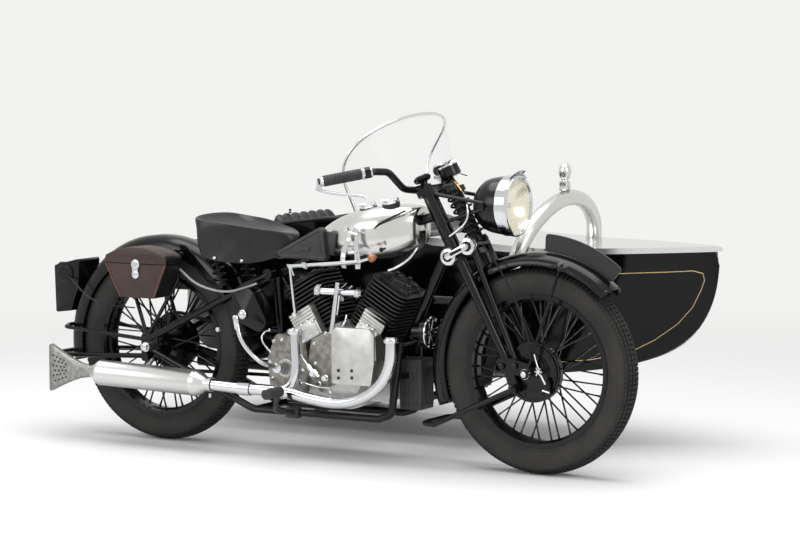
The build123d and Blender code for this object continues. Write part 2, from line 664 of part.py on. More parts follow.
def sprung_leg(side):
    """A slim leg from the spring bridge to the rocker that carries the axle."""
    foot = fork_point(74, 0, sprung_foot_up)
    rocker = [(16, -598), (52, -598), (axle_forward + 22, axle_up + 22), (axle_forward + 20, axle_up - 24), (22, -646)]
    return joined([
        between(fork_point(92, side * sprung_top_y, -215), fork_point(74, side * sprung_foot_y, sprung_foot_up), SPRUNG_LEG_RADIUS),
        across(foot[0], foot[2], side, 72, 99, 14),
        fork_plane * side_plate(rocker, *sorted((side * 97, side * 105)), 12),
    ])


spring_bridge = between(fork_point(92, -sprung_top_y, -215), fork_point(92, sprung_top_y, -215), 13)
sprung = joined([spring_bridge, *mirrored(sprung_leg)]) - legs
sprung = nodes["sprung_legs"] = sprung - along_y(WHEELBASE, TYRE_RADIUS, -140, 140, AXLE_RADIUS)

front_axle = along_y(WHEELBASE, TYRE_RADIUS, -132, 124, AXLE_RADIUS)
for low, high, radius in ((-97, -63, 15), (48, 97, 15), (-122, -109, 17), (109, 122, 17)):
    front_axle += along_y(WHEELBASE, TYRE_RADIUS, low, high, radius)
nodes["front_axle"] = front_axle
brake_plate = along_y(WHEELBASE, TYRE_RADIUS, -67, -63, 100) - along_y(WHEELBASE, TYRE_RADIUS, -68, -60, 15)
nodes["front_brake_plate"] = brake_plate - legs - sprung


def fork_spring(side):
    """A spring between the bridge and a seat on the top yoke, waisted at each turn."""
    foot, top = Vector(*fork_point(92, side * 30, -203)), Vector(*fork_point(92, side * 30, -14))
    length, turns = (top - foot).length, 8
    outline = [(0.0, 0.0)]
    for index in range(turns):
        low, high = length * (index + 0.12) / turns, length * (index + 0.88) / turns
        outline += [(low, 18), (low, 23), (high, 23), (high, 18)]
    return turned([*outline, (length, 18), (length, 0.0)], foot, top - foot)


spring_seat = between(fork_point(92, -46, -14), fork_point(92, 46, -14), 14) + between(fork_point(44, 0, 4), fork_point(94, 0, -12), 16)
springs = joined([spring_seat, *mirrored(fork_spring)]) - sprung - yokes - legs
damper = joined([
    fork_plane * side_plate([(4, -238), (8, -206), (112, -204), (118, -240)], -115, -106, 12),
    between(fork_point(96, -60, -222), fork_point(96, -120, -222), 26),
    between(fork_point(24, -96, -222), fork_point(24, -120, -222), 26),
])
damper = damper - sprung - legs - yokes
nodes["fork_springs"] = springs
nodes["fork_damper"] = damper

# ---- Handlebar, controls, instruments and lamp ----


def from_head(x, y, z):
    """A place given ahead of, to the left of and above the middle of the steering head."""
    return (STEER_HEAD_X + x, y, STEER_HEAD_Z + z)


bar_points = [(-33, 0, 34), (-23, -70, 30), (-21, -150, 38), (-37, -225, 98), (-61, -282, 101), (-201, -400, 68)]
bars = joined([bent_rod([from_head(x, side * y, z) for x, y, z in bar_points], 12, [60, 60, 50, 50]) for side in (1, -1)])
bars = nodes["handlebar"] = bars - yokes


def hand_control(side):
    """A rubber grip with the inverted lever pivoted at the bar's end."""
    return joined([
        between(from_head(-85, side * 302, 95.3), from_head(-193, side * 393, 69.9), 19),
        between(from_head(-199, side * 398, 70), from_head(-197, side * 400, 42), 9),
        between(from_head(-197, side * 400, 44), from_head(-77, side * 318, 26), 6),
    ]) - bars


nodes["hand_controls"] = apart(mirrored(hand_control))
instruments = joined([
    between(fork_point(0, 0, 24), fork_point(0, 0, 70), 12),
    between(fork_point(0, 0, 66), fork_point(0, 0, 84), 29),
])
speedometer = between(from_head(61, 34, 72), from_head(43, 30, 110), 38) + between(fork_point(44, 24, 18), from_head(61, 33, 76), 9)
clock = between(from_head(7, 60, 85), from_head(-3, 60, 110), 22) + between(fork_point(30, 60, 18), from_head(5, 60, 90), 8)
instrument_set = [piece - bars - yokes - legs for piece in (instruments, speedometer, clock)]
nodes["instruments"] = apart(instrument_set)

rim_x, _, lamp_z = from_head(315, 0, -15)
peak = (between((rim_x, 0, lamp_z), (rim_x + 40, 0, lamp_z), 106) - between((rim_x - 1, 0, lamp_z), (rim_x + 41, 0, lamp_z), 102)) & block(
    rim_x - 2, rim_x + 42, -48, 48, lamp_z + 60, lamp_z + 120
)


def lamp_bracket(side):
    """The two bars from a rigid leg to the lamp's shell."""
    rise, drop = ((fork_point(RIGID_LEG_OFFSET, side * LEG_SPACING, up), from_head(247, side * 86, high)) for up, high in ((2, -4), (-108, -22)))
    return joined([between(*rise, 9), between(*drop, 9), between(rise[1], drop[1], 9)])


lamp = joined([
    turned([(0, 0), (0, 30), (16, 58), (44, 84), (141, 98), (141, 0)], (rim_x - 141, 0, lamp_z), (1, 0, 0)),
    between((rim_x, 0, lamp_z), (rim_x + 20, 0, lamp_z), 102),
    peak,
    *mirrored(lamp_bracket),
])
nodes["headlamp"] = lamp - legs - yokes - springs
nodes["headlamp_glass"] = turned([(0, 0), (0, 96), (6, 93), (14, 70), (18, 40), (20, 0)], (rim_x + 20, 0, lamp_z), (1, 0, 0))

# ---- Front mudguard, plate and stand ----
front_stay_y = 62.0


def front_mudguard_stay(side):
    """A flat stay from the mudguard's edge down to the axle."""
    return joined([
        between((WHEELBASE + 4, side * 107, TYRE_RADIUS + 14), (WHEELBASE + 98, side * 69, TYRE_RADIUS + 341), 5),
        across(WHEELBASE + 99, TYRE_RADIUS + 345, side, front_stay_y, 74, 9),
        across(WHEELBASE, TYRE_RADIUS, side, 105, 109, 20),
    ])


front_mudguard = mudguard(front_axle_at, 46, 201, FRONT_VALANCE_RADIUS) - sprung - legs
front_stays = joined(mirrored(front_mudguard_stay) + [front_mudguard]) - sprung - legs - nodes["front_axle"]
plate = wheel_ring([(-3, 392), (-3, 452), (3, 452), (3, 392)], front_axle_at, 50, 88)
nodes["front_mudguard"] = apart([front_stays, plate])


def stand_frame(points, radius, bends, pivot, eye, pin):
    """A bent stand with an eye and a pin at each foot; eye and pin are (inner, outer, radius)."""
    shape = bent_rod(points, radius, bends)
    for side in (-1, 1):
        shape += across(*pivot, side, *eye) + across(*pivot, side, *pin)
    return shape


nodes["front_stand"] = stand_frame(
    [
        (front_stand_x, -front_stand_y, front_stand_z), (1152, -front_stand_y, 150), (1104, -90, 150),
        (1104, 90, 150), (1152, front_stand_y, 150), (front_stand_x, front_stand_y, front_stand_z),
    ],
    9, [20, 25, 25, 20], (front_stand_x, front_stand_z), (92, front_stand_y + 10, 13), (72, 93, 6),
)
nodes["rear_stand"] = stand_frame(
    [
        (stand_pivot_x, -stand_y, stand_pivot_z), (-420, -stand_y, 292), (-446, -70, 290),
        (-446, 70, 290), (-420, stand_y, 292), (stand_pivot_x, stand_y, stand_pivot_z),
    ],
    9, [25, 35, 35, 25], (stand_pivot_x, stand_pivot_z), (110, stand_y + 10, 13), (96, 111, stand_pin),
)

# ---- Sidecar chassis ----
hoop_plane = Plane(
    origin=(HOOP_FOOT_X, (HOOP_NEAR_Y + HOOP_FAR_Y) / 2, CHASSIS_TUBE_Z),
    x_dir=(0, 1, 0),
    z_dir=(cos(radians(HOOP_LEAN)), 0, -sin(radians(HOOP_LEAN))),
)


def hoop_shape():
    """The bright hoop: upright legs and a three-centred arch, with its filler cap."""
    half = (HOOP_FAR_Y - HOOP_NEAR_Y) / 2
    side_centre = half - HOOP_SIDE_ARC
    top_radius = (side_centre**2 + (HOOP_SPRING - HOOP_RISE) ** 2 - HOOP_SIDE_ARC**2) / (
        2 * (HOOP_RISE - HOOP_SPRING - HOOP_SIDE_ARC)
    )
    top_centre = HOOP_RISE - top_radius
    join_angle = atan2(HOOP_SPRING - top_centre, side_centre)
    join = (top_radius * cos(join_angle), top_centre + top_radius * sin(join_angle))
    middle = (side_centre + HOOP_SIDE_ARC * cos(join_angle / 2), HOOP_SPRING + HOOP_SIDE_ARC * sin(join_angle / 2))

    def flipped(point):
        return (-point[0], point[1])

    path = hoop_plane * (
        Line((-half, 0), (-half, HOOP_SPRING))
        + ThreePointArc((-half, HOOP_SPRING), flipped(middle), flipped(join))
        + ThreePointArc(flipped(join), (0, HOOP_RISE), join)
        + ThreePointArc(join, middle, (half, HOOP_SPRING))
        + Line((half, HOOP_SPRING), (half, 0))
    )
    return sweep(Plane(origin=path @ 0, z_dir=path % 0) * Circle(HOOP_RADIUS), path=path)


hoop = hoop_shape()
finial_profile = [(0, 0), (0, 9), (20, 9), (20, 15), (44, 15), (46, 8), (56, 7), (68, 14), (84, 17), (100, 13), (112, 0)]
finial = turned(finial_profile, (1284, 618, 884), (0, 0, 1)) - hoop
nodes["hoop"] = apart([hoop, finial])

chassis_arms = [
    ((985, 84, 190), (1040, HOOP_NEAR_Y, 232)),
    ((1080, 14, 556), (1186, HOOP_NEAR_Y, 520)),
    ((475, 40, 622), (475, HOOP_NEAR_Y, 245)),
    ((70, 100, 318), (70, HOOP_NEAR_Y, 245)),
]
mudguard_stays = [((-70, 970, 240), 150.0), ((430, 970, 240), 32.0)]
stay_reach, sidecar_guard_y = 366.0, TRACK - MUDGUARD_WIDTH / 2


def mudguard_stay(foot, angle):
    """A rod from the chassis to a boss on the inner face of the sidecar's mudguard."""
    x = SIDECAR_WHEEL_LEAD + stay_reach * cos(radians(angle))
    z = TYRE_RADIUS + stay_reach * sin(radians(angle))
    return joined([between(foot, (x, sidecar_guard_y - 10, z), 8), along_y(x, z, sidecar_guard_y - 20, sidecar_guard_y, 12)])


def chassis_shape():
    side_tubes = [
        between((-90, y, CHASSIS_TUBE_Z), (HOOP_FOOT_X + 10, y, CHASSIS_TUBE_Z), CHASSIS_TUBE_RADIUS)
        for y in (HOOP_NEAR_Y, HOOP_FAR_Y)
    ]
    cross_tubes = [along_y(x, CHASSIS_TUBE_Z, HOOP_NEAR_Y, HOOP_FAR_Y, CHASSIS_TUBE_RADIUS - 2) for x in (1040, 560, 20)]
    pads = [block(x - 24, x + 24, y - 30, y + 30, CHASSIS_TUBE_Z, HULL_BOTTOM_Z) for x in (1040, 560, 20) for y in (480, 840)]
    axle_foot, axle_top = (SIDECAR_WHEEL_LEAD, HOOP_FAR_Y, CHASSIS_TUBE_Z), (SIDECAR_WHEEL_LEAD, 1000, TYRE_RADIUS - 3)
    axle = [
        bent_rod([axle_foot, (SIDECAR_WHEEL_LEAD, 996, CHASSIS_TUBE_Z + 10), axle_top], 14, [10]),
        between((SIDECAR_WHEEL_LEAD, 1000, TYRE_RADIUS - 14), (SIDECAR_WHEEL_LEAD, 1000, TYRE_RADIUS + 14), 17),
        along_y(SIDECAR_WHEEL_LEAD, TYRE_RADIUS, 1000, 1150, AXLE_RADIUS),
        along_y(SIDECAR_WHEEL_LEAD, TYRE_RADIUS, 1137, 1150, 18),
    ]
    arms = [between(start, end, 14) for start, end in chassis_arms]
    stays = [mudguard_stay(foot, angle) for foot, angle in mudguard_stays]
    return joined([*side_tubes, *cross_tubes, *pads, *axle, *arms, *stays])


chassis = chassis_shape() - frame - hoop - nodes["rear_axle"] - nodes["primary_case"] - gearbox - saddle - nodes["battery_box"]
nodes["sidecar_chassis"] = chassis - nodes["horn"] - nodes["rear_chain"] - rear_stays

# ---- Sidecar body ----
side_top = [
    (-330, 592), (-20, 716), (100, 730), (180, 742), (262, 756), (400, 773), (545, 782), (640, 770), (880, 706), (1300, DECK_EDGE_Z), (1845, 704),
]
side_low = [
    (1857, 640), (1847, 560), (1814, 500), (1752, 415), (1692, 360), (1626, 320), (1552, 292), (1450, 277), (1141, HULL_BOTTOM_Z),
    (-120, HULL_BOTTOM_Z), (-250, 320), (-330, 420),
]
cockpit_back, cockpit_front, cockpit_half, cockpit_corner = 122.0, 800.0, 224.0, 70.0


def bow_plan(overhang):
    """Plan of the body: blunt tail, straight sides and a bow of two arcs, grown by overhang."""
    near, far = HULL_NEAR_Y - overhang, HULL_FAR_Y + overhang
    tip = BOW_X + 8 + overhang
    shoulder = 136 + overhang
    quarter = 205 + overhang
    lines = (
        Line((1320, near), (120, near))
        + ThreePointArc((120, near), (-150, hull_mid_y - quarter), (-300 - overhang, hull_mid_y - 90))
        + ThreePointArc((-300 - overhang, hull_mid_y - 90), (-325 - overhang, hull_mid_y), (-300 - overhang, hull_mid_y + 90))
        + ThreePointArc((-300 - overhang, hull_mid_y + 90), (-150, hull_mid_y + quarter), (120, far))
        + Line((120, far), (1320, far))
        + ThreePointArc((1320, far), (1638, hull_mid_y + shoulder), (tip, hull_mid_y))
        + ThreePointArc((tip, hull_mid_y), (1638, hull_mid_y - shoulder), (1320, near))
    )
    return make_face(lines)


def hull_solid(wall):
    """The body's outside drawn in by wall all round."""
    side = make_face(Polyline(*side_top, *side_low, close=True))
    if wall:
        side = offset(side, amount=-wall, kind=Kind.INTERSECTION)
    profile = Pos(0, HULL_FAR_Y + 20, 0) * extrude(Plane.XZ * side, amount=HULL_FAR_Y - HULL_NEAR_Y + 40)
    return extrude(bow_plan(-wall), amount=1000) & profile


def cockpit_column(grow, z0, z1):
    """An upright prism through the cockpit's opening, grown by grow."""
    length, width = cockpit_front - cockpit_back + 2 * grow, 2 * (cockpit_half + grow)
    middle = (cockpit_front + cockpit_back) / 2
    return Pos(middle, hull_mid_y, z0) * extrude(RectangleRounded(length, width, cockpit_corner + grow), amount=z1 - z0)


hull_outside = hull_solid(0)
hull = hull_outside - hull_solid(HULL_WALL) - cockpit_column(0, 600, 900)
hull -= Pos(-150, hull_mid_y, 560) * extrude(RectangleRounded(170, 240, 30), amount=300)
nodes["hull"] = hull


def above_side(points, low, high):
    """A slab following the body's upper profile, from low to high above it."""
    return side_plate(
        [(x, z + low) for x, z in points] + [(x, z + high) for x, z in reversed(points)], HULL_NEAR_Y - 20, HULL_FAR_Y + 20
    )


coaming_line = [(60, 725), *side_top[2:9], (1000, 701)]
nodes["coaming"] = ((cockpit_column(9, 600, 900) - cockpit_column(-11, 600, 900)) & above_side(coaming_line, -6, 16)) - hull
lid_slope = (side_top[1][1] - side_top[0][1]) / (side_top[1][0] - side_top[0][0])
lid_line = [(x, side_top[1][1] + (x - side_top[1][0]) * lid_slope) for x in (-265, -40)]
nodes["locker_lid"] = above_side(lid_line, 1, 11) & block(-300, 0, hull_mid_y - 130, hull_mid_y + 130, 500, 900)
deck_profile = side_plate(
    [(860, 711.6), (880, 706.3), (1300, DECK_EDGE_Z), (1845, 704), (1880, 706), (1880, 716), (1845, 722), (1300, 712), (862, 734)],
    HULL_NEAR_Y - 20,
    HULL_FAR_Y + 20,
)
deck = nodes["deck"] = (extrude(bow_plan(DECK_LIP), amount=1000) & deck_profile) - hoop - hull_outside

seat_inset = 14.0
seat_low, seat_high = hull_mid_y - cockpit_half + seat_inset, hull_mid_y + cockpit_half - seat_inset
cushion = block(154, 620, seat_low, seat_high, HULL_BOTTOM_Z + HULL_WALL, 470)
squab_place = Plane(origin=(156, hull_mid_y, 630), x_dir=(0, 1, 0), z_dir=(1, 0, 0))
squab = extrude(squab_place * RectangleRounded(seat_high - seat_low, 320, 46), amount=58)
nodes["sidecar_seat"] = apart([cushion - hull, squab - hull - nodes["coaming"]])

screen_lean, screen_half, screen_centre, screen_base, screen_reach = 22.0, 243.0, 700.0, 650.0, 300.0


def screen_sheet(half):
    """The screen's U in plan, filled in, carried up along its lean."""
    plan_lines = Polyline((0, half), (-screen_reach, half), (-screen_reach, -half), (0, -half)) + ThreePointArc(
        (0, -half), (half, 0), (0, half)
    )
    face = Pos(screen_centre, hull_mid_y, screen_base) * make_face(plan_lines)
    return extrude(face, amount=540, dir=(-tan(radians(screen_lean)), 0, 1))


screen_outline = make_face(
    Polyline((602, 1090), (716, 1160), (760, 1160), (1000, 700), (560, 700), (543, 807))
    + ThreePointArc((543, 807), (480, 948), (602, 1090))
)
screen_clip = Pos(0, hull_mid_y + 300, 0) * extrude(Plane.XZ * screen_outline, amount=600)
screen = (screen_sheet(screen_half) - screen_sheet(screen_half - SCREEN_WALL)) & screen_clip
nodes["windscreen"] = screen - hull_outside - deck - nodes["coaming"]
nodes["sidecar_mudguard"] = mudguard(sidecar_axle_at, 5, 190, FRONT_VALANCE_RADIUS)

# ---- Wheels on their axles ----
nodes["rear_tyre"] = tyre(rear_axle_at)
nodes["rear_wheel"] = wheel(rear_axle_at, 1)
sprocket = along_y(0, TYRE_RADIUS, 58, 74, chain_rear_radius - 6) - along_y(0, TYRE_RADIUS, 50, 80, 60)
nodes["rear_wheel"] += sprocket
nodes["front_tyre"] = tyre(front_axle_at)
nodes["front_wheel"] = wheel(front_axle_at, -1)
nodes["sidecar_tyre"] = tyre(sidecar_axle_at)
nodes["sidecar_wheel"] = wheel(sidecar_axle_at, -1)

# ---- Output ----
# The origin is on the ground under the middle of the outfit's box.
whole = apart(nodes.values()).bounding_box()
origin = Vector((whole.min.X + whole.max.X) / 2, (whole.min.Y + whole.max.Y) / 2, whole.min.Z)
os.makedirs("parts", exist_ok=True)
for name, shape in nodes.items():
    export_step(Pos(*(origin * -1)) * Part(shape.wrapped), f"parts/{name}.step")
print("origin", origin.X, origin.Y, origin.Z)
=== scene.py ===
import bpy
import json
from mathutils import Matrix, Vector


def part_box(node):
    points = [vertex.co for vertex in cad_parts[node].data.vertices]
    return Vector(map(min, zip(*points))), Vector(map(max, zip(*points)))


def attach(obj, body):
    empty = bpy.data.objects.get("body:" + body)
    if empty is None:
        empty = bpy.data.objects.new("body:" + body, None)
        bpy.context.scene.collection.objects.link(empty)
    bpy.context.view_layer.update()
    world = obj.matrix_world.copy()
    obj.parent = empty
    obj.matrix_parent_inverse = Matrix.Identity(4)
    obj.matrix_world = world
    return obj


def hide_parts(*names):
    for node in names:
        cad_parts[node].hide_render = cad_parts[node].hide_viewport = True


bl_info = {
    "name": "Sidecar Motorcycle",
    "version": (1, 0, 0),
    "blender": (4, 5, 0),
    "location": "View3D > Sidebar > Sidecar",
    "description": "Dresses the sidecar motorcycle with its tyres, leather, bright work and coachwork",
    "category": "Add Mesh",
}

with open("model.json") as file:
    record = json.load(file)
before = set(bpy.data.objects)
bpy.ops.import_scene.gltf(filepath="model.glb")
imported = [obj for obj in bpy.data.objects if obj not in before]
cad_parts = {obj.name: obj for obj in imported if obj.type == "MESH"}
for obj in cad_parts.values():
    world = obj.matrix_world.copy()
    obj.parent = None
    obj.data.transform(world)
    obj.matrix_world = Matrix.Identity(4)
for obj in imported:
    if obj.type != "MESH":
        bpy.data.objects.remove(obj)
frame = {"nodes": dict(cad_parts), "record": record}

import json
from math import cos, pi, radians, sin, sqrt, tan

import bmesh
import bpy
from bpy.props import FloatProperty, FloatVectorProperty, IntProperty, PointerProperty
from mathutils import Matrix, Vector

NODES = frame["nodes"]


# ---- Places: millimetres from the ground under the rear axle, X forward, Y to the sidecar, Z up ----
rear_low, rear_high = (Vector(corner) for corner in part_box("rear_tyre"))
GROUND = Vector(((rear_low.x + rear_high.x) / 2, (rear_low.y + rear_high.y) / 2, rear_low.z))
WHEELBASE, TYRE_RADIUS, RAKE = 1500.0, 345.0, radians(28.2)
FRONT_AXLE = Vector((WHEELBASE, 0, TYRE_RADIUS))
REAR_AXLE, SIDECAR_AXLE = Vector((0, 0, TYRE_RADIUS)), Vector((180, 1090, TYRE_RADIUS))
HEAD_X, HEAD_Z = 1085, 900
HULL_MIDDLE = 660.0


def at(x, y, z):
    """A place in the shared frame, in metres."""
    return GROUND + Vector((x, y, z)) / 1000


def fork_at(forward, y, up):
    """A place on the fork, from the steering head: forward, to the left and up along the steering axis."""
    return Vector(
        (HEAD_X + forward * cos(RAKE) - up * sin(RAKE), y, HEAD_Z + forward * sin(RAKE) + up * cos(RAKE))
    )


# ---- Colours and materials ----
def linear(colour):
    """Linear RGBA of an sRGB hex colour."""
    channels = [int(colour[i : i + 2], 16) / 255 for i in (1, 3, 5)]
    return (*[c / 12.92 if c <= 0.04045 else ((c + 0.055) / 1.055) ** 2.4 for c in channels], 1.0)


def add_node(material, kind, inputs=(), **settings):
    """Adds a node with its settings; inputs are (name or index, value or output socket) pairs."""
    tree = material.node_tree
    made = tree.nodes.new(kind)
    for key, value in settings.items():
        setattr(made, key, value)
    for key, value in inputs:
        if isinstance(value, bpy.types.NodeSocket):
            tree.links.new(value, made.inputs[key])
        else:
            made.inputs[key].default_value = value
    return made


def new_finish(name, colour, metallic=0.0, roughness=0.5, **sockets):
    """A material of one surface shader; returns the material and its shader node."""
    material = bpy.data.materials.new(name)
    material.use_nodes = True
    shader = material.node_tree.nodes["Principled BSDF"]
    shader.inputs["Base Color"].default_value = linear(colour)
    shader.inputs["Metallic"].default_value = metallic
    shader.inputs["Roughness"].default_value = roughness
    for key, value in sockets.items():
        shader.inputs[key.replace("_", " ")].default_value = value
    material.diffuse_color = linear(colour)
    return material, shader


def pattern(material, size_mm, kind="ShaderNodeTexNoise", coordinates="Object", **inputs):
    """A texture whose features are size_mm across, on object coordinates in metres."""
    place = add_node(material, "ShaderNodeTexCoord")
    settings = [("Vector", place.outputs[coordinates]), ("Scale", 1000.0 / size_mm)]
    return add_node(
        material, kind, settings + [(key.replace("_", " "), value) for key, value in inputs.items()]
    )


def vary_roughness(material, shader, source, low, high):
    """Roughness wanders between two values with a texture, as handling and dust leave it."""
    ramp = add_node(material, "ShaderNodeMapRange", [("Value", source), ("To Min", low), ("To Max", high)])
    material.node_tree.links.new(ramp.outputs["Result"], shader.inputs["Roughness"])


def vary_colour(material, shader, source, first, second, low=0.35, high=0.65):
    """Colour wanders between two hex values with a texture."""
    ramp = add_node(
        material, "ShaderNodeMapRange", [("Value", source), ("From Min", low), ("From Max", high)]
    )
    mix = add_node(
        material,
        "ShaderNodeMix",
        [(0, ramp.outputs["Result"]), (6, linear(first)), (7, linear(second))],
        data_type="RGBA",
    )
    material.node_tree.links.new(mix.outputs[2], shader.inputs["Base Color"])
    return mix


def raise_grain(material, shader, source, height_mm, strength=1.0):
    """Bump of a given height from a texture."""
    bump = add_node(
        material, "ShaderNodeBump",
        [("Height", source), ("Strength", strength), ("Distance", height_mm / 1000)],
    )
    material.node_tree.links.new(bump.outputs["Normal"], shader.inputs["Normal"])
    return bump


def stoved_black_enamel():
    """Stoved enamel: a deep black paint under its own gloss, with the faint ripple of dipping."""
    material, shader = new_finish("stoved_black_enamel", "#08080a", roughness=0.16, Specular_IOR_Level=0.32)
    ripple = pattern(material, 45, Detail=2.0)
    vary_roughness(material, shader, ripple.outputs["Fac"], 0.12, 0.26)
    raise_grain(material, shader, pattern(material, 6, Detail=3.0).outputs["Fac"], 0.04, 0.25)
    return material


def coachwork_black():
    """Hand-finished coach paint: black, flatted and polished, so that it mirrors the studio."""
    material, shader = new_finish(
        "coachwork_black", "#060607", roughness=0.07, Specular_IOR_Level=0.22, Coat_Roughness=0.03
    )
    vary_roughness(material, shader, pattern(material, 120, Detail=2.0).outputs["Fac"], 0.05, 0.12)
    return material


def chromium_plate():
    """Polished chromium plate over steel: a mirror with a cool cast and a faint polishing haze."""
    material, shader = new_finish("chromium_plate", "#d2d3d6", metallic=1.0, roughness=0.07)
    vary_roughness(material, shader, pattern(material, 30, Detail=4.0).outputs["Fac"], 0.04, 0.13)
    return material


def polished_nickel():
    """Nickel plate: softer than chromium, slightly hazed by hand polishing."""
    material, shader = new_finish("polished_nickel", "#d4d3d0", metallic=1.0, roughness=0.16)
    vary_roughness(material, shader, pattern(material, 60, Detail=3.0).outputs["Fac"], 0.17, 0.3)
    return material


def silvered_steel():
    """The silencer's dull silver plate, with a fine handling grain."""
    material, shader = new_finish("silvered_steel", "#d2d2d1", metallic=1.0, roughness=0.3)
    vary_roughness(material, shader, pattern(material, 8, Detail=5.0).outputs["Fac"], 0.24, 0.4)
    return material


def burnt_steel():
    """The fishtail's bare steel, dulled and darkened by heat."""
    material, shader = new_finish("burnt_steel", "#949491", metallic=0.8, roughness=0.5)
    grain = pattern(material, 14, Detail=6.0)
    vary_colour(material, shader, grain.outputs["Fac"], "#868684", "#a0a09c")
    raise_grain(material, shader, pattern(material, 1.6, Detail=2.0).outputs["Fac"], 0.15, 0.4)
    return material


def polished_aluminium():
    """The deck's buffed aluminium sheet: bright, with long fine buffing lines."""
    material, shader = new_finish("polished_aluminium", "#dcdddc", metallic=1.0, roughness=0.22)
    place = add_node(material, "ShaderNodeTexCoord")
    stretch = add_node(
        material, "ShaderNodeMapping", [("Vector", place.outputs["Object"]), ("Scale", (2.0, 160.0, 160.0))]
    )
    lines = add_node(
        material, "ShaderNodeTexNoise",
        [("Vector", stretch.outputs["Vector"]), ("Scale", 3.0), ("Detail", 3.0)],
    )
    vary_roughness(material, shader, lines.outputs["Fac"], 0.16, 0.27)
    return material


def cast_aluminium():
    """Sand-cast and vapour-blasted aluminium: pale, satin and finely grained, greyer in its corners."""
    material, shader = new_finish("cast_aluminium", "#b4b4b0", metallic=0.85, roughness=0.42)
    vary_colour(material, shader, pattern(material, 40, Detail=5.0).outputs["Fac"], "#b4b4b1", "#c6c6c3")
    raise_grain(material, shader, pattern(material, 1.8, Detail=2.0).outputs["Fac"], 0.12, 0.5)
    return material


def stove_black_iron():
    """Cast iron under heat-proof black: nearly matt, grainy, with a dull sheen on the fins' edges."""
    material, shader = new_finish("stove_black_iron", "#212122", metallic=0.2, roughness=0.5)
    vary_roughness(material, shader, pattern(material, 25, Detail=4.0).outputs["Fac"], 0.38, 0.6)
    raise_grain(material, shader, pattern(material, 2.2, Detail=2.0).outputs["Fac"], 0.2, 0.5)
    return material


def oiled_spring_steel():
    """Oil-blacked spring steel."""
    material, shader = new_finish("oiled_spring_steel", "#2a2a2b", metallic=0.8, roughness=0.38)
    vary_roughness(material, shader, pattern(material, 12, Detail=3.0).outputs["Fac"], 0.3, 0.5)
    return material


def moulded_rubber():
    """Moulded black rubber: matt, slightly greyed by age."""
    material, shader = new_finish("moulded_rubber", "#262627", roughness=0.55)
    vary_colour(material, shader, pattern(material, 35, Detail=4.0).outputs["Fac"], "#202021", "#303031")
    raise_grain(material, shader, pattern(material, 1.5, Detail=2.0).outputs["Fac"], 0.08, 0.4)
    return material


def tyre_rubber():
    """Vulcanised tyre rubber with a warm brown-grey bloom of road dust."""
    material, shader = new_finish("tyre_rubber", "#2b2a29", roughness=0.72, Specular_IOR_Level=0.35)
    vary_colour(material, shader, pattern(material, 90, Detail=4.0).outputs["Fac"], "#262524", "#32302e")
    raise_grain(material, shader, pattern(material, 2.0, Detail=3.0).outputs["Fac"], 0.15, 0.4)
    return material


def black_hide():
    """Black upholstery hide: semi-gloss, pebbled, with softer creases."""
    material, shader = new_finish("black_hide", "#161617", roughness=0.34, Specular_IOR_Level=0.4)
    vary_colour(material, shader, pattern(material, 70, Detail=4.0).outputs["Fac"], "#111112", "#1c1c1d")
    creases = pattern(material, 38, Detail=6.0, Distortion=0.8)
    pebble = pattern(material, 2.4, kind="ShaderNodeTexVoronoi")
    first = raise_grain(material, shader, creases.outputs["Fac"], 3.0, 0.35)
    second = raise_grain(material, shader, pebble.outputs["Distance"], 0.25, 0.35)
    material.node_tree.links.new(first.outputs["Normal"], second.inputs["Normal"])
    return material


def brown_hide():
    """Old brown saddlery leather, dark and waxed, rubbed paler here and there."""
    material, shader = new_finish("brown_hide", "#3c2c28", roughness=0.46, Specular_IOR_Level=0.35)
    vary_colour(material, shader, pattern(material, 110, Detail=4.0).outputs["Fac"], "#352623", "#45342f")
    raise_grain(
        material, shader, pattern(material, 2.6, kind="ShaderNodeTexVoronoi").outputs["Distance"], 0.25, 0.4
    )
    return material


def clear_sheet(name, colour, body):
    """A clear thin sheet: nearly all light goes straight through, and a little gloss stays on its face."""
    material, shader = new_finish(name, colour, roughness=0.03, Alpha=body)
    vary_roughness(material, shader, pattern(material, 80, Detail=2.0).outputs["Fac"], 0.02, 0.06)
    return material


FINISHES = {
    "black_enamel": stoved_black_enamel(),
    "black_coachwork": coachwork_black(),
    "chrome": chromium_plate(),
    "nickel_plate": polished_nickel(),
    "silver_plate": silvered_steel(),
    "burnt_steel": burnt_steel(),
    "polished_aluminium": polished_aluminium(),
    "cast_aluminium": cast_aluminium(),
    "black_iron": stove_black_iron(),
    "dark_steel": oiled_spring_steel(),
    "black_rubber": moulded_rubber(),
    "tyre_rubber": tyre_rubber(),
    "black_leather": black_hide(),
    "brown_leather": brown_hide(),
    "lamp_glass": clear_sheet("lamp_glass", "#f6f1e2", 0.14),
    "clear_screen": clear_sheet("clear_screen", "#e6eae9", 0.07),
}


def tread_rubber():
    """The tread's rubber: darker than the walls, dusty in its grooves."""
    material, shader = new_finish("tread_rubber", "#242322", roughness=0.82, Specular_IOR_Level=0.35)
    vary_colour(material, shader, pattern(material, 60, Detail=4.0).outputs["Fac"], "#201f1f", "#2c2b29")
    raise_grain(material, shader, pattern(material, 2.0, Detail=3.0).outputs["Fac"], 0.2, 0.5)
    return material


def gold_lining():
    """The coachliner's gold size line: a thin warm satin paint."""
    material, shader = new_finish("gold_lining", "#c9b384", metallic=0.4, roughness=0.35)
    vary_roughness(material, shader, pattern(material, 9).outputs["Fac"], 0.28, 0.45)
    return material


def silvered_reflector():
    """The lamp's old silvered bowl, gone cream."""
    material, shader = new_finish("silvered_reflector", "#f1ecdc", metallic=0.8, roughness=0.2)
    vary_roughness(material, shader, pattern(material, 35, Detail=3.0).outputs["Fac"], 0.18, 0.34)
    return material


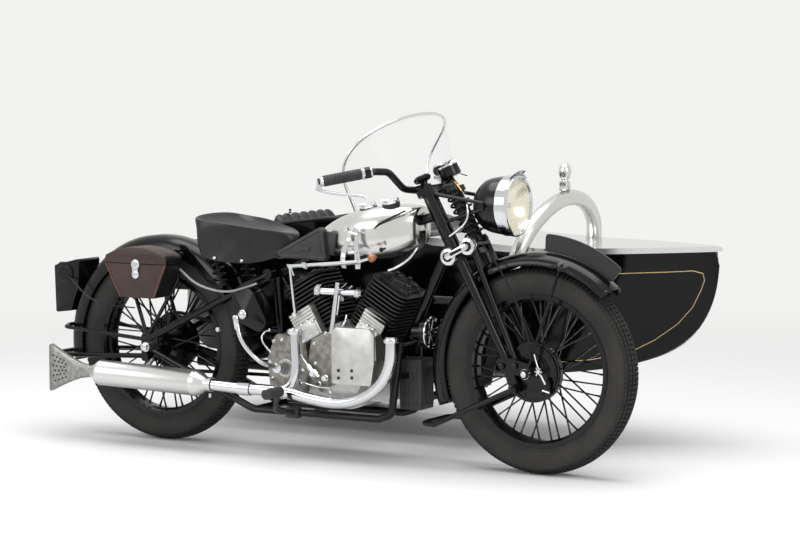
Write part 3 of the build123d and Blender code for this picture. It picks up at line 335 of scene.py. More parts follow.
def plate_paint():
    """A stove-enamelled number plate: dark grey, slightly orange-peeled."""
    material, shader = new_finish("plate_paint", "#161618", roughness=0.3)
    raise_grain(material, shader, pattern(material, 3.0, Detail=2.0).outputs["Fac"], 0.08, 0.4)
    return material


def aged_brass():
    """Brass ferrule, tarnished to brown in its hollows."""
    material, shader = new_finish("aged_brass", "#a88a4e", metallic=1.0, roughness=0.3)
    vary_colour(material, shader, pattern(material, 8, Detail=4.0).outputs["Fac"], "#8a6d3c", "#bfa066")
    return material


def amber_resin():
    """The gear knob's turned resin: orange-brown with darker clouds under its polish."""
    material, shader = new_finish("amber_resin", "#9c5a2c", roughness=0.25, Coat_Weight=0.5)
    vary_colour(
        material, shader, pattern(material, 12, Detail=4.0, Distortion=1.0).outputs["Fac"], "#7d421d",
        "#b4713f",
    )
    return material


def dial_enamel():
    """The dials' off-white enamel face."""
    material, shader = new_finish("dial_enamel", "#d9d4c4", roughness=0.3)
    vary_roughness(material, shader, pattern(material, 10).outputs["Fac"], 0.24, 0.38)
    return material


def ruby_lens():
    """The tail lamp's ruby glass, nearly black unlit."""
    material, shader = new_finish("ruby_lens", "#4a0c0c", roughness=0.12, Coat_Weight=0.6)
    vary_roughness(material, shader, pattern(material, 6).outputs["Fac"], 0.08, 0.2)
    return material


def aged_alloy():
    """Old cast aluminium that was never polished: dull brown-grey with oil in its pores."""
    material, shader = new_finish("aged_alloy", "#8c8982", metallic=0.6, roughness=0.52)
    vary_colour(material, shader, pattern(material, 22, Detail=6.0).outputs["Fac"], "#75726b", "#a09d95")
    raise_grain(material, shader, pattern(material, 1.8, Detail=2.0).outputs["Fac"], 0.12, 0.5)
    return material


def russet_edging():
    """The panniers' rubbed leather edge, worn to russet."""
    material, shader = new_finish("russet_edging", "#7a4a3a", roughness=0.5)
    vary_roughness(material, shader, pattern(material, 12, Detail=3.0).outputs["Fac"], 0.4, 0.6)
    return material


def cable_sheath():
    """A grey woven cable sheath, slightly shiny with lacquer."""
    material, shader = new_finish("cable_sheath", "#9c9c9a", roughness=0.45)
    raise_grain(material, shader, pattern(material, 2.0, Detail=1.0).outputs["Fac"], 0.15, 0.4)
    return material


def painted_hole_shade():
    """Painted shade: a dead matt near-black that stands for the dark inside seen through a drilled hole."""
    material, shader = new_finish("painted_hole_shade", "#0b0b0b", roughness=0.9)
    vary_roughness(material, shader, pattern(material, 2).outputs["Fac"], 0.8, 1.0)
    return material


FINISHES.update(
    dark_hole=painted_hole_shade(),
    aged_alloy=aged_alloy(),
    russet=russet_edging(),
    sheath=cable_sheath(),
    tread=tread_rubber(),
    gold=gold_lining(),
    reflector=silvered_reflector(),
    plate=plate_paint(),
    brass=aged_brass(),
    amber=amber_resin(),
    dial=dial_enamel(),
    ruby=ruby_lens(),
)


# ---- Building blocks for pieces ----
def finish_piece(
    name, mesh, finishes, body, replaces=(), smooth=30.0, subdivide=0, bevel=0.0, wall=0.0
):
    """Makes an object of a bmesh laid out in metres in the shared frame, and lets it ride on its body."""
    data = bpy.data.meshes.new(name)
    mesh.to_mesh(data)
    mesh.free()
    piece = bpy.data.objects.new(name, data)
    bpy.context.scene.collection.objects.link(piece)
    for finish in finishes if isinstance(finishes, (list, tuple)) else [finishes]:
        data.materials.append(FINISHES[finish])
    if wall:
        thick = piece.modifiers.new("wall", "SOLIDIFY")
        thick.thickness, thick.offset = wall / 1000, -1.0
    if bevel:
        edge = piece.modifiers.new("edge", "BEVEL")
        edge.width, edge.segments, edge.limit_method, edge.angle_limit = bevel / 1000, 2, "ANGLE", radians(35)
    if subdivide:
        soft = piece.modifiers.new("soft", "SUBSURF")
        soft.levels = soft.render_levels = subdivide
    data.shade_smooth()
    if smooth < 180:
        data.set_sharp_from_angle(angle=radians(smooth))
    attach(piece, body)
    if replaces:
        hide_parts(*replaces)
    return piece


def facing(direction):
    """A rotation that carries +Z to the given direction."""
    return Vector(direction).normalized().to_track_quat("Z", "Y").to_matrix().to_4x4()


def place(origin, direction=(0, 0, 1)):
    """A matrix from local metres, its Z along direction, to the shared frame, origin in millimetres."""
    return Matrix.Translation(at(*origin)) @ facing(direction)


def lathe(mesh, profile, origin, direction, steps=48, finish=0):
    """Spins a (along, radius) profile in millimetres round an axis; it ends at radius 0 or on itself."""
    before = set(mesh.faces)
    verts = [mesh.verts.new((max(radius, 0.0) / 1000, 0, along / 1000)) for along, radius in profile]
    edges = [mesh.edges.new(pair) for pair in zip(verts, verts[1:])]
    bmesh.ops.spin(
        mesh, geom=verts + edges, cent=(0, 0, 0), axis=(0, 0, 1), angle=2 * pi, steps=steps, use_merge=True,
        use_duplicate=False,
    )
    made = [face for face in mesh.faces if face not in before]
    points = list({vert for face in made for vert in face.verts})
    bmesh.ops.remove_doubles(mesh, verts=points, dist=1e-6)
    made = [face for face in mesh.faces if face not in before]
    bmesh.ops.recalc_face_normals(mesh, faces=made)
    points = list({vert for face in made for vert in face.verts})
    bmesh.ops.transform(mesh, matrix=place(origin, direction), verts=points)
    for face in made:
        face.material_index = finish
    return made


def block(mesh, size, matrix, finish=0, bevel=0.0):
    """A box of the given size in millimetres placed by a matrix."""
    made = bmesh.ops.create_cube(
        mesh, size=1.0, matrix=matrix @ Matrix.Diagonal((*[s / 1000 for s in size], 1.0))
    )
    faces = list({face for vert in made["verts"] for face in vert.link_faces})
    for face in faces:
        face.material_index = finish
    if bevel:
        edges = list({edge for face in faces for edge in face.edges})
        bmesh.ops.bevel(
            mesh, geom=edges, offset=bevel / 1000, affect="EDGES", segments=2, profile=0.5, material=-1
        )


def rod(mesh, start, end, radius, finish=0, end_radius=None, segments=16):
    """A round bar between two places in millimetres."""
    start, end = Vector(start), Vector(end)
    made = bmesh.ops.create_cone(
        mesh,
        cap_ends=True,
        segments=segments,
        radius1=radius / 1000,
        radius2=(radius if end_radius is None else end_radius) / 1000,
        depth=(end - start).length / 1000,
        matrix=place((start + end) / 2, end - start),
    )
    for face in {face for vert in made["verts"] for face in vert.link_faces}:
        face.material_index = finish


def bolt(mesh, origin, direction, across=12.0, height=6.0, finish=0):
    """A hexagon head on its washer."""
    lathe(mesh, [(0, 0), (0, across * 0.68), (1.2, across * 0.68), (1.2, 0)], origin, direction, 16, finish)
    made = bmesh.ops.create_cone(
        mesh,
        cap_ends=True,
        segments=6,
        radius1=across / 1732,
        radius2=across / 1732,
        depth=height / 1000,
        matrix=place(origin, direction) @ Matrix.Translation((0, 0, (1.2 + height / 2) / 1000)),
    )
    for face in {face for vert in made["verts"] for face in vert.link_faces}:
        face.material_index = finish


def tube(mesh, points, radius, finish=0, bevel=5, resolution=10):
    """Adds a round tube along a smooth curve through control points in millimetres."""
    curve = bpy.data.curves.new("tube", "CURVE")
    curve.dimensions, curve.use_fill_caps = "3D", True
    curve.bevel_depth, curve.bevel_resolution = radius / 1000, bevel
    spline = curve.splines.new("NURBS")
    spline.points.add(len(points) - 1)
    for point, spot in zip(spline.points, points):
        point.co = (*at(*spot), 1.0)
    spline.order_u, spline.use_endpoint_u, spline.resolution_u = 3, True, resolution
    carrier = bpy.data.objects.new("tube", curve)
    bpy.context.scene.collection.objects.link(carrier)
    data = bpy.data.meshes.new_from_object(carrier)
    bpy.data.objects.remove(carrier)
    bpy.data.curves.remove(curve)
    before = set(mesh.faces)
    mesh.from_mesh(data)
    bpy.data.meshes.remove(data)
    made = [face for face in mesh.faces if face not in before]
    bmesh.ops.remove_doubles(mesh, verts=list({vert for face in made for vert in face.verts}), dist=1e-6)
    made = [face for face in mesh.faces if face not in before]
    bmesh.ops.recalc_face_normals(mesh, faces=made)
    for face in made:
        face.material_index = finish


def coil(mesh, start, end, radius, wire, turns, finish=0):
    """A coil spring between two places in millimetres, wound at an even pitch from end to end."""
    turn = place(start, Vector(end) - Vector(start))
    length = (Vector(end) - Vector(start)).length
    points = []
    for step in range(turns * 12 + 1):
        angle = 2 * pi * step / 12
        along = wire + (length - 2 * wire) * step / (turns * 12)
        local = Vector((radius * cos(angle), radius * sin(angle), along)) / 1000
        points.append((turn @ local - GROUND) * 1000)
    tube(mesh, points, wire, finish, bevel=3, resolution=2)


def copied(node):
    """A merged copy of a node's mesh."""
    mesh = bmesh.new()
    mesh.from_mesh(NODES[node].data)
    bmesh.ops.remove_doubles(mesh, verts=mesh.verts, dist=1e-5)
    bmesh.ops.dissolve_degenerate(mesh, edges=mesh.edges, dist=1e-6)
    return mesh


def paint(mesh, finish, test):
    """Gives a finish to the faces whose middle, in millimetres of the layout, passes the test."""
    for face in mesh.faces:
        if test((face.calc_center_median() - GROUND) * 1000):
            face.material_index = finish


def ring_of(mesh, spots):
    """A closed ring of edges through places in millimetres."""
    verts = [mesh.verts.new(at(*spot)) for spot in spots]
    return [mesh.edges.new(pair) for pair in zip(verts, [*verts[1:], verts[0]])]


def skin(mesh, rings, capped=True):
    """Bridges a row of rings into a closed form."""
    loops = [ring_of(mesh, spots) for spots in rings]
    for first, second in zip(loops, loops[1:]):
        bmesh.ops.bridge_loops(mesh, edges=first + second)
    if capped:
        for loop in (loops[0], loops[-1]):
            bmesh.ops.contextual_create(mesh, geom=loop)
    bmesh.ops.recalc_face_normals(mesh, faces=mesh.faces)


# ---- Settings a user would change ----
class TyreSettings(bpy.types.PropertyGroup):
    tread_pitches: IntProperty(
        name="Tread pitches", description="Tread blocks round each tyre", default=132, min=24
    )
    tread_depth: FloatProperty(
        name="Tread depth", description="Depth of the grooves, in millimetres", default=6.0, min=1.0
    )


class CoachworkSettings(bpy.types.PropertyGroup):
    bow_taper: FloatProperty(
        name="Bow taper", description="How far the hull's sides draw in at the keel of the bow", default=0.9,
        min=0.0, max=1.0, subtype="FACTOR",
    )
    line_width: FloatProperty(
        name="Line width", description="Width of the gold line, in millimetres", default=3.2, min=0.5
    )


class SeatSettings(bpy.types.PropertyGroup):
    pleats: IntProperty(name="Pleats", description="Sewn pleats across the sidecar's seat", default=7, min=1)
    pleat_rise: FloatProperty(
        name="Pleat rise", description="Height of each pleat, in millimetres", default=14.0, min=0.0
    )


class StageSettings(bpy.types.PropertyGroup):
    floor_colour: FloatVectorProperty(
        name="Floor colour", description="Colour of the floor near the machine", subtype="COLOR",
        default=(0.84, 0.84, 0.825),
    )
    sky_strength: FloatProperty(
        name="Sky strength", description="Strength of the soft light from all round", default=0.62, min=0.0
    )


# ---- Tyres and wheels ----
TYRE_PROFILE = [
    (-31.7, 246), (-34, 258), (-36.5, 263), (-39.5, 265), (-38.8, 268), (-43, 276), (-47.6, 288),
    (-49.6, 302), (-48.2, 316), (-43.5, 327), (-38, 330), (-27, 334), (-13.5, 337.5), (0, 339), (13.5, 337.5),
    (27, 334), (38, 330), (43.5, 327), (48.2, 316), (49.6, 302), (47.6, 288), (43, 276), (38.8, 268),
    (39.5, 265), (36.5, 263), (34, 258), (31.7, 246), (-31.7, 246),
]
# Rows of tread blocks: middle from the centre line, crown radius, tilt in degrees, width, length
TREAD_ROWS = [
    (0, 345, 0, 11.5, 11.5), (14, 343.2, 15, 11.5, 11.5), (-14, 343.2, -15, 11.5, 11.5),
    (28, 338.2, 27, 11.5, 11.5), (-28, 338.2, -27, 11.5, 11.5), (40.5, 330.5, 45, 11.0, 9.0),
    (-40.5, 330.5, -45, 11.0, 9.0),
]
# How far a tread block reaches below its groove, and the wheels' spokes
TREAD_ROOT, SPOKES, RIM_REACH, HUB_REACH = 4.0, 40, 232, 47


class SIDECAR_OT_tyres(bpy.types.Operator):
    """Moulds the three tyres with their block tread, and threads the spoke nipples"""

    bl_idname = "sidecar.tyres"
    bl_label = "Tyres and nipples"

    def execute(self, context):
        settings = context.scene.sidecar_tyres
        for name, centre in (("rear", REAR_AXLE), ("front", FRONT_AXLE), ("sidecar", SIDECAR_AXLE)):
            mesh = bmesh.new()
            lathe(mesh, TYRE_PROFILE, centre, (0, 1, 0), 120)
            before = set(mesh.verts)
            pitch = 2 * pi / settings.tread_pitches
            deep = settings.tread_depth + TREAD_ROOT
            for row, (side, crown, tilt, width, length) in enumerate(TREAD_ROWS):
                spot = Matrix.Rotation(pitch * (row % 2) / 2, 4, "Y") @ Matrix.Translation(
                    (0, side / 1000, (crown - deep / 2) / 1000)
                )
                block(mesh, (length, width, deep), spot @ Matrix.Rotation(radians(-tilt), 4, "X"), finish=1)
            made = [vert for vert in mesh.verts if vert not in before]
            bmesh.ops.translate(mesh, verts=made, vec=at(*centre))
            geometry = made + list({edge for vert in made for edge in vert.link_edges}) + list(
                {f for v in made for f in v.link_faces}
            )
            bmesh.ops.spin(
                mesh,
                geom=geometry,
                cent=at(*centre),
                axis=(0, 1, 0),
                angle=2 * pi - pitch,
                steps=settings.tread_pitches - 1,
                use_merge=False,
                use_duplicate=True,
            )
            finish_piece(
                name + "_tread_tyre", mesh, ["tyre_rubber", "tread"], name + "_wheel", [name + "_tyre"],
            )
            nipples = bmesh.new()
            for index in range(SPOKES):
                angle = 2 * pi * index / SPOKES
                side = 1 if index % 2 else -1
                foot = centre + Vector((RIM_REACH * cos(angle), side * 7, RIM_REACH * sin(angle)))
                hub_angle = angle + radians(32 if index % 4 < 2 else -32)
                hub = centre + Vector((HUB_REACH * cos(hub_angle), side * 39, HUB_REACH * sin(hub_angle)))
                rod(nipples, foot, foot + (hub - foot).normalized() * 16, 4.2, end_radius=3.0, segments=8)
            finish_piece(name + "_spoke_nipples", nipples, "black_enamel", name + "_wheel")
        return {"FINISHED"}


# ---- Coachwork ----
SIDE_TOP = [
    (-330, 592), (-20, 716), (100, 730), (180, 742), (262, 756), (400, 773), (545, 782), (640, 770),
    (880, 706), (1300, 690), (1858, 704),
]
SIDE_LOW = [
    (-330, 420), (-250, 320), (-120, 275), (1141, 275), (1450, 277), (1552, 292), (1626, 320), (1692, 360),
    (1752, 415), (1814, 500), (1847, 560), (1858, 640),
]
BOW_START, BOW_SHOULDER, BOW_TIP = (1320.0, 270.0), (1638.0, 136.0), (1858.0, 0.0)


def between_points(points, x):
    """The height of a profile at x."""
    for (x0, z0), (x1, z1) in zip(points, points[1:]):
        if x <= x1:
            return z0 + (z1 - z0) * max(0.0, (x - x0) / (x1 - x0))
    return points[-1][1]


def hull_half(x):
    """Half the hull's breadth at x, ahead of the cockpit."""
    if x <= BOW_START[0]:
        return BOW_START[1]
    (x0, y0), (x1, y1), x2 = BOW_START, BOW_SHOULDER, BOW_TIP[0]
    share = (x - x0) / (x2 - x0)
    lean = (x1 - x0) / (x2 - x0)
    rise = (y1 - y0 * (1 - lean)) / (lean * (1 - lean))
    return max(0.0, y0 * (1 - share) + rise * share * (1 - share))


FOREFOOT_START, FOREFOOT_LOW, FOREFOOT_HIGH, FOREFOOT_CUTS = 1141.0, 275.0, 704.0, 28
TAPER_START, TAPER_RUN = 1250, 560


def forefoot(x):
    """The keel's fair curve up to the bow's tip."""
    ahead = min(1.0, max(0.0, (x - FOREFOOT_START) / (BOW_TIP[0] - FOREFOOT_START)))
    return FOREFOOT_HIGH - (FOREFOOT_HIGH - FOREFOOT_LOW) * (1 - ahead**3.6) ** (1 / 2.4)


def drawn_in(x, z, taper):
    """How much of its breadth the hull keeps at a height: all at the deck, less towards the bow's keel."""
    ahead = min(1.0, max(0.0, (x - TAPER_START) / TAPER_RUN))
    low, high = forefoot(x), between_points(SIDE_TOP, x)
    drop = min(1.0, max(0.0, (high - z) / max(high - low, 1.0)))
    return 1 - taper * ahead * ahead * (3 - 2 * ahead) * drop


class SIDECAR_OT_coachwork(bpy.types.Operator):
    """Shapes the hull's skin with its tapered bow, and lays on the gold line and the rolled coaming"""

    bl_idname = "sidecar.coachwork"
    bl_label = "Coachwork"

    def execute(self, context):
        settings = context.scene.sidecar_coachwork
        mesh = copied("hull")
        long_edges = [edge for edge in mesh.edges if edge.calc_length() > 0.12]
        bmesh.ops.subdivide_edges(mesh, edges=long_edges, cuts=3, use_grid_fill=True)
        bmesh.ops.triangulate(mesh, faces=mesh.faces)
        for step in range(FOREFOOT_CUTS):
            cut = at(
                FOREFOOT_START + (BOW_TIP[0] - FOREFOOT_START) * sin(pi / 2 * (step + 0.5) / FOREFOOT_CUTS),
                0, 0,
            )
            geometry = [*mesh.verts, *mesh.edges, *mesh.faces]
            bmesh.ops.bisect_plane(mesh, geom=geometry, plane_co=cut, plane_no=(1, 0, 0), dist=1e-5)
        for vert in mesh.verts:
            spot = (vert.co - GROUND) * 1000
            if spot.x > FOREFOOT_START:
                low, high = between_points(SIDE_LOW, spot.x), between_points(SIDE_TOP, spot.x)
                share = min(1.0, max(0.0, (spot.z - low) / max(high - low, 1.0)))
                fair = forefoot(spot.x)
                vert.co.z = at(0, 0, fair + (high - fair) * share if share < 1 else spot.z).z
            if spot.x > TAPER_START:
                keep = drawn_in(spot.x, (vert.co.z - GROUND.z) * 1000, settings.bow_taper)
                vert.co.y = GROUND.y + (HULL_MIDDLE + (spot.y - HULL_MIDDLE) * keep) / 1000
        finish_piece("hull_skin", mesh, "black_coachwork", "chassis", ["hull"], smooth=25)

        line = bmesh.new()
        route = [
            (1160, 617), (1500, 625), (1700, 633), (1778, 637), (1806, 628), (1810, 604), (1796, 565),
            (1768, 508), (1715, 447), (1640, 390), (1560, 345), (1450, 322), (1300, 312), (1160, 312),
            (1112, 322), (1100, 366), (1100, 560), (1112, 606), (1160, 617), (1500, 625),
        ]
        for side in (-1, 1):
            spots = []
            for (x0, z0), (x1, z1) in zip(route, route[1:]):
                for step in range(8):
                    x, z = x0 + (x1 - x0) * step / 8, z0 + (z1 - z0) * step / 8
                    spots.append(
                        (x, HULL_MIDDLE + side * (hull_half(x) * drawn_in(x, z, settings.bow_taper) + 0.9), z)
                    )
            tube(line, spots[:-7], settings.line_width / 2, bevel=2, resolution=2)
        finish_piece("gold_line", line, "gold", "chassis")
        roll = copied("coaming")
        finish_piece(
            "coaming_roll", roll, "black_leather", "chassis", ["coaming"], smooth=60,
            bevel=7.0,
        )
        return {"FINISHED"}


# The screen's plan is half an ellipse at the foot's height, which leans back and flares as it rises
SCREEN_REAR, SCREEN_FRONT, SCREEN_FOOT, SCREEN_SHOULDER, SCREEN_TOP = 628.0, 884.0, 700.0, 920.0, 1163.0
SCREEN_HALF, SCREEN_FLARE, SCREEN_LEAN = 262.0, 0.2, tan(radians(19.5))


def screen_spot(share, rise):
    """A place on the screen: share runs from its right end round the front, rise from foot to edge."""
    angle = pi * (share - 0.5)
    top = SCREEN_SHOULDER + (SCREEN_TOP - SCREEN_SHOULDER) * max(0.0, cos(angle)) ** 0.6
    z = SCREEN_FOOT + (top - SCREEN_FOOT) * rise
    x = SCREEN_REAR + (SCREEN_FRONT - SCREEN_REAR) * cos(angle) - SCREEN_LEAN * (z - 650)
    return (x, HULL_MIDDLE + (SCREEN_HALF + SCREEN_FLARE * (z - SCREEN_FOOT)) * sin(angle), z)


class SIDECAR_OT_windscreen(bpy.types.Operator):
    """Bends the clear screen and its polished edge"""

    bl_idname = "sidecar.windscreen"
    bl_label = "Windscreen"

    def execute(self, context):
        pane = bmesh.new()
        bmesh.ops.create_grid(pane, x_segments=72, y_segments=12, size=0.5)
        for vert in pane.verts:
            vert.co = at(*screen_spot(vert.co.x + 0.5, vert.co.y + 0.5))
        bmesh.ops.recalc_face_normals(pane, faces=pane.faces)
        finish_piece(
            "screen_pane", pane, "clear_screen", "chassis", ["windscreen"], smooth=180,
            wall=3.0,
        )
        edge = bmesh.new()
        outline = [screen_spot(0, step / 6) for step in range(6)] + [
            screen_spot(step / 48, 1) for step in range(49)
        ]
        outline += [screen_spot(1, step / 6) for step in range(5, -1, -1)]
        tube(edge, outline, 5.6, resolution=3)
        tube(edge, [screen_spot(step / 24, 0.01) for step in range(25)], 6.0, 1, resolution=3)
        finish_piece("screen_edge", edge, ["polished_aluminium", "black_rubber"], "chassis", smooth=60)
        return {"FINISHED"}


# ---- Smooth shells from the frame's own solids ----
# Node, body, smoothing angle in degrees, edge rounding in millimetres, finish
SHELLS = [
    ("tank", "chassis", 40, 0, "nickel_plate"), ("rear_mudguard", "chassis", 45, 0, "black_enamel"),
    ("sidecar_mudguard", "chassis", 45, 0, "black_enamel"), ("handlebar", "fork", 45, 0, "black_enamel"),
    ("gearbox", "chassis", 30, 3, "aged_alloy"), ("primary_case", "chassis", 30, 6, "black_enamel"),
    ("tool_box", "chassis", 30, 4, "black_enamel"), ("battery_box", "chassis", 30, 4, "black_rubber"),
    ("front_brake_plate", "fork", 30, 1.5, "black_enamel"), ("rear_lamp", "chassis", 35, 3, "black_enamel"),
]


HOOP_PLATING = 6.0
PLATE_RADII, PLATE_ANGLES, PLATE_CORNER = (393.0, 453.0), (50.0, 88.0), 12.0


def plate_outline():
    """The curved front plate's outline round the axle: along its inner arc and back along its outer one."""
    low, high = (radians(angle) for angle in PLATE_ANGLES)
    spots = []
    for radius, corner_at, start, end in (
        (PLATE_RADII[0], PLATE_RADII[0] + PLATE_CORNER, low, high),
        (PLATE_RADII[1], PLATE_RADII[1] - PLATE_CORNER, high, low),
    ):
        turn = PLATE_CORNER / corner_at if end > start else -PLATE_CORNER / corner_at
        first, last, bend = start + turn, end - turn, radius - corner_at
        steps = [pi / 2 * step / 4 for step in range(5)]
        walk = [(first - turn * cos(step), corner_at + bend * sin(step)) for step in steps]
        walk += [(first + (last - first) * step / 14, radius) for step in range(1, 14)]
        walk += [(last + turn * sin(step), corner_at + bend * cos(step)) for step in steps]
        spots += [(reach * cos(angle), reach * sin(angle)) for angle, reach in walk]
    return spots


class SIDECAR_OT_shells(bpy.types.Operator):
    """Gives the pressed, cast and bent metal its smooth surfaces and softened edges"""

    bl_idname = "sidecar.shells"
    bl_label = "Smooth metalwork"

    def execute(self, context):
        for node, body, angle, edge, finish in SHELLS:
            mesh = copied(node)
            finish_piece(node + "_metal", mesh, finish, body, [node], smooth=angle, bevel=edge)
        mesh = copied("timing_covers")
        paint(mesh, 1, lambda spot: spot.x < 781 and spot.z < 400)
        paint(mesh, 2, lambda spot: spot.x > 950)
        cases = ["cast_aluminium", "aged_alloy", "black_enamel"]
        finish_piece(
            "timing_covers_metal", mesh, cases, "chassis", ["timing_covers"], smooth=30,
            bevel=3,
        )
        hoop = copied("hoop")
        hoop.normal_update()
        for vert in hoop.verts:
            vert.co += vert.normal * HOOP_PLATING / 1000
        paint(hoop, 1, lambda spot: spot.z < 600)
        finish_piece(
            "hoop_metal", hoop, ["nickel_plate", "black_enamel"], "chassis", ["hoop"],
            smooth=45,
        )
        mesh = copied("front_mudguard")
        old_plate = []
        for face in mesh.faces:
            spot = (face.calc_center_median() - GROUND) * 1000 - FRONT_AXLE
            if Vector((spot.x, spot.z)).length > 394 and abs(spot.y) < 6:
                old_plate.append(face)
        bmesh.ops.delete(mesh, geom=old_plate, context="FACES")
        finish_piece(
            "front_mudguard_metal", mesh, "black_enamel", "fork", ["front_mudguard"],
            smooth=45,
        )
        plate = bmesh.new()
        spots = [FRONT_AXLE + Vector((x, -4.0, z)) for x, z in plate_outline()]
        verts = [plate.verts.new(at(*spot)) for spot in spots]
        face = plate.faces.new(verts)
        pushed = bmesh.ops.extrude_face_region(plate, geom=[face])
        far_side = [item for item in pushed["geom"] if isinstance(item, bmesh.types.BMVert)]
        bmesh.ops.translate(plate, verts=far_side, vec=(0, 0.008, 0))
        bmesh.ops.recalc_face_normals(plate, faces=plate.faces)
        finish_piece("front_plate", plate, "plate", "fork", smooth=35, bevel=1.5)
        return {"FINISHED"}


# ---- Exhaust and kickstart ----
FRONT_PIPE = [
    (1016, -150, 442), (1016, -150, 400), (1010, -150, 338), (980, -150, 280), (925, -150, 236),
    (850, -150, 208), (775, -150, 202), (700, -154, 212), (612, -164, 230), (500, -174, 233),
    (411, -182, 233), (300, -190, 240),
]
REAR_PIPE = [
    (628, -140, 446), (632, -142, 380), (640, -147, 318), (632, -152, 262), (596, -160, 236),
    (540, -168, 232), (470, -176, 232),
]


class SIDECAR_OT_exhaust(bpy.types.Operator):
    """Bends the two plated exhaust pipes and the kickstart"""

    bl_idname = "sidecar.exhaust"
    bl_label = "Exhaust and kickstart"

    def execute(self, context):
        pipes = bmesh.new()
        tube(pipes, FRONT_PIPE, 20.0, bevel=9, resolution=12)
        tube(pipes, REAR_PIPE, 16.5, bevel=9, resolution=12)
        lathe(pipes, [(-24, 21), (-24, 24), (24, 24), (24, 21), (-24, 21)], (452, -178, 233), (-1, 0, 0), 48)
        finish_piece(
            "exhaust_pipes_metal", pipes, "chrome", "chassis", ["exhaust_pipes"], smooth=45
        )
        lever = bmesh.new()
        tube(
            lever,
            [
                (452, -226, 470), (457, -230, 436), (482, -232, 392), (522, -226, 350), (548, -190, 318),
                (556, -112, 306),
            ],
            8.0,
            bevel=6,
        )
        lathe(lever, [(-10, 0), (-10, 17), (12, 17), (12, 0)], (556, -128, 306), (0, -1, 0), 32)
        lathe(
            lever, [(-26, 0), (-26, 8), (-22, 10), (20, 11.5), (25, 9), (25, 0)], (450, -228, 468),
            (-0.1, -0.1, 1), 24, 0,
        )
        finish_piece(
            "kickstart_metal", lever, ["chrome", "black_rubber"], "chassis", ["kickstart"],
            smooth=45,
        )
        return {"FINISHED"}


# ---- Silencer ----
SILENCER_Y, TAIL_START, TAIL_RUN = -190, -186, 184


class SIDECAR_OT_silencer(bpy.types.Operator):
    """Rolls the silencer and its perforated fishtail"""

    bl_idname = "sidecar.silencer"
    bl_label = "Silencer"

    def execute(self, context):
        front, rear = Vector((300, SILENCER_Y, 240)), Vector((-189, SILENCER_Y, 252))
        run = rear - front
        length = run.length
        mesh = bmesh.new()
        profile = [
            (0, 0), (0, 25), (4, 26), (10, 30), (30, 43), (38, 45.2), (46, 45.2), (48, 46), (52, 46),
            (54, 45.2), (length - 44, 45.2), (length - 42, 46), (length - 38, 46), (length - 34, 44.5),
            (length - 14, 30), (length, 23), (length, 0),
        ]
        lathe(mesh, profile, front, run, 64)
        lathe(mesh, [(-24, 21.6), (-24, 25), (0, 25), (0, 21.6), (-24, 21.6)], front, run, 48)
        rod(mesh, front + Vector((14, 0, -32)), front + Vector((14, 0, -46)), 5)
        tube(mesh, [(20, -116, 300), (20, -140, 286), (20, -164, 268)], 8)
        finish_piece(
            "silencer_drum", mesh, "silver_plate", "chassis", ["silencer"], smooth=35
        )
        tail = bmesh.new()
        rings = []
        for share in (0.0, 0.12, 0.3, 0.5, 0.7, 0.86, 1.0):
            x = TAIL_START - TAIL_RUN * share
            spread = share * share * (1.6 - 0.6 * share)
            half_z, half_y = 21 + 64 * spread, 20 - 3 * share - 8 * share * (1 - share)
            corner = min(half_y, half_z) * (1 - 0.45 * share)
            spots = []
            for quarter, (sy, sz) in enumerate(((1, 1), (-1, 1), (-1, -1), (1, -1))):
                for step in range(5):
                    angle = radians(90 * quarter + 22.5 * step)
                    spots.append((
                        x,
                        SILENCER_Y + sy * (half_y - corner) + corner * cos(angle),
                        252 + 4 * share + sz * (half_z - corner) + corner * sin(angle),
                    ))
            rings.append(spots)
        skin(tail, rings, capped=False)
        finish_piece("fishtail", tail, "burnt_steel", "chassis", ["silencer"], smooth=50, wall=2.0)
        # Near-black plugs set through the fishtail's wall at each perforation: painted shade for the dark
        # inside of the holes.
        hole_shade_plugs = bmesh.new()
        for index in range(24):
            column, row = index % 4, index // 4
            x = -296 - 16.0 * column - (8 if row % 2 else 0)
            z = 256 + (row - 2.5) * 17 * (0.7 + 0.12 * column)
            for side in (-1, 1):
                share = (TAIL_START - x) / TAIL_RUN
                face = SILENCER_Y + side * (20 - 3 * share - 8 * share * (1 - share) + 0.3)
                rod(hole_shade_plugs, (x, face - side * 3.0, z), (x, face + side * 0.9, z), 3.3, segments=10)
        finish_piece("fishtail_hole_shade", hole_shade_plugs, "dark_hole", "chassis", smooth=30)
        return {"FINISHED"}


# ---- Leather ----
# The saddle's outline on its right: place along X, half width
SADDLE_PLAN = [
    (198, 0), (199, 40), (202, 80), (208, 118), (220, 143), (242, 154), (275, 155), (310, 150), (345, 141),
    (380, 128), (415, 112), (450, 94), (485, 76), (515, 58), (540, 38), (555, 18), (559, 0),
]
# Where its rings shrink to along X, and the heights of the rolled edge and of the hem
SADDLE_MIDDLE = 370
SADDLE_EDGE = [(198, 822), (222, 809), (260, 802), (335, 796), (400, 786), (467, 775), (520, 768), (559, 756)]
SADDLE_HEM = [(198, 704), (252, 674), (316, 662), (430, 656), (490, 670), (530, 690), (559, 706)]
# Rings of the dish, from its middle out: share of the outline, share of the dish, drop below the edge
SADDLE_RINGS = [
    (0.2, 1.0, 0), (0.45, 0.95, 0), (0.68, 0.75, 0), (0.84, 0.4, 0), (0.92, 0.1, 0), (0.95, 0.0, -3),
    (0.985, 0.0, -2), (1.0, 0.0, 7),
]


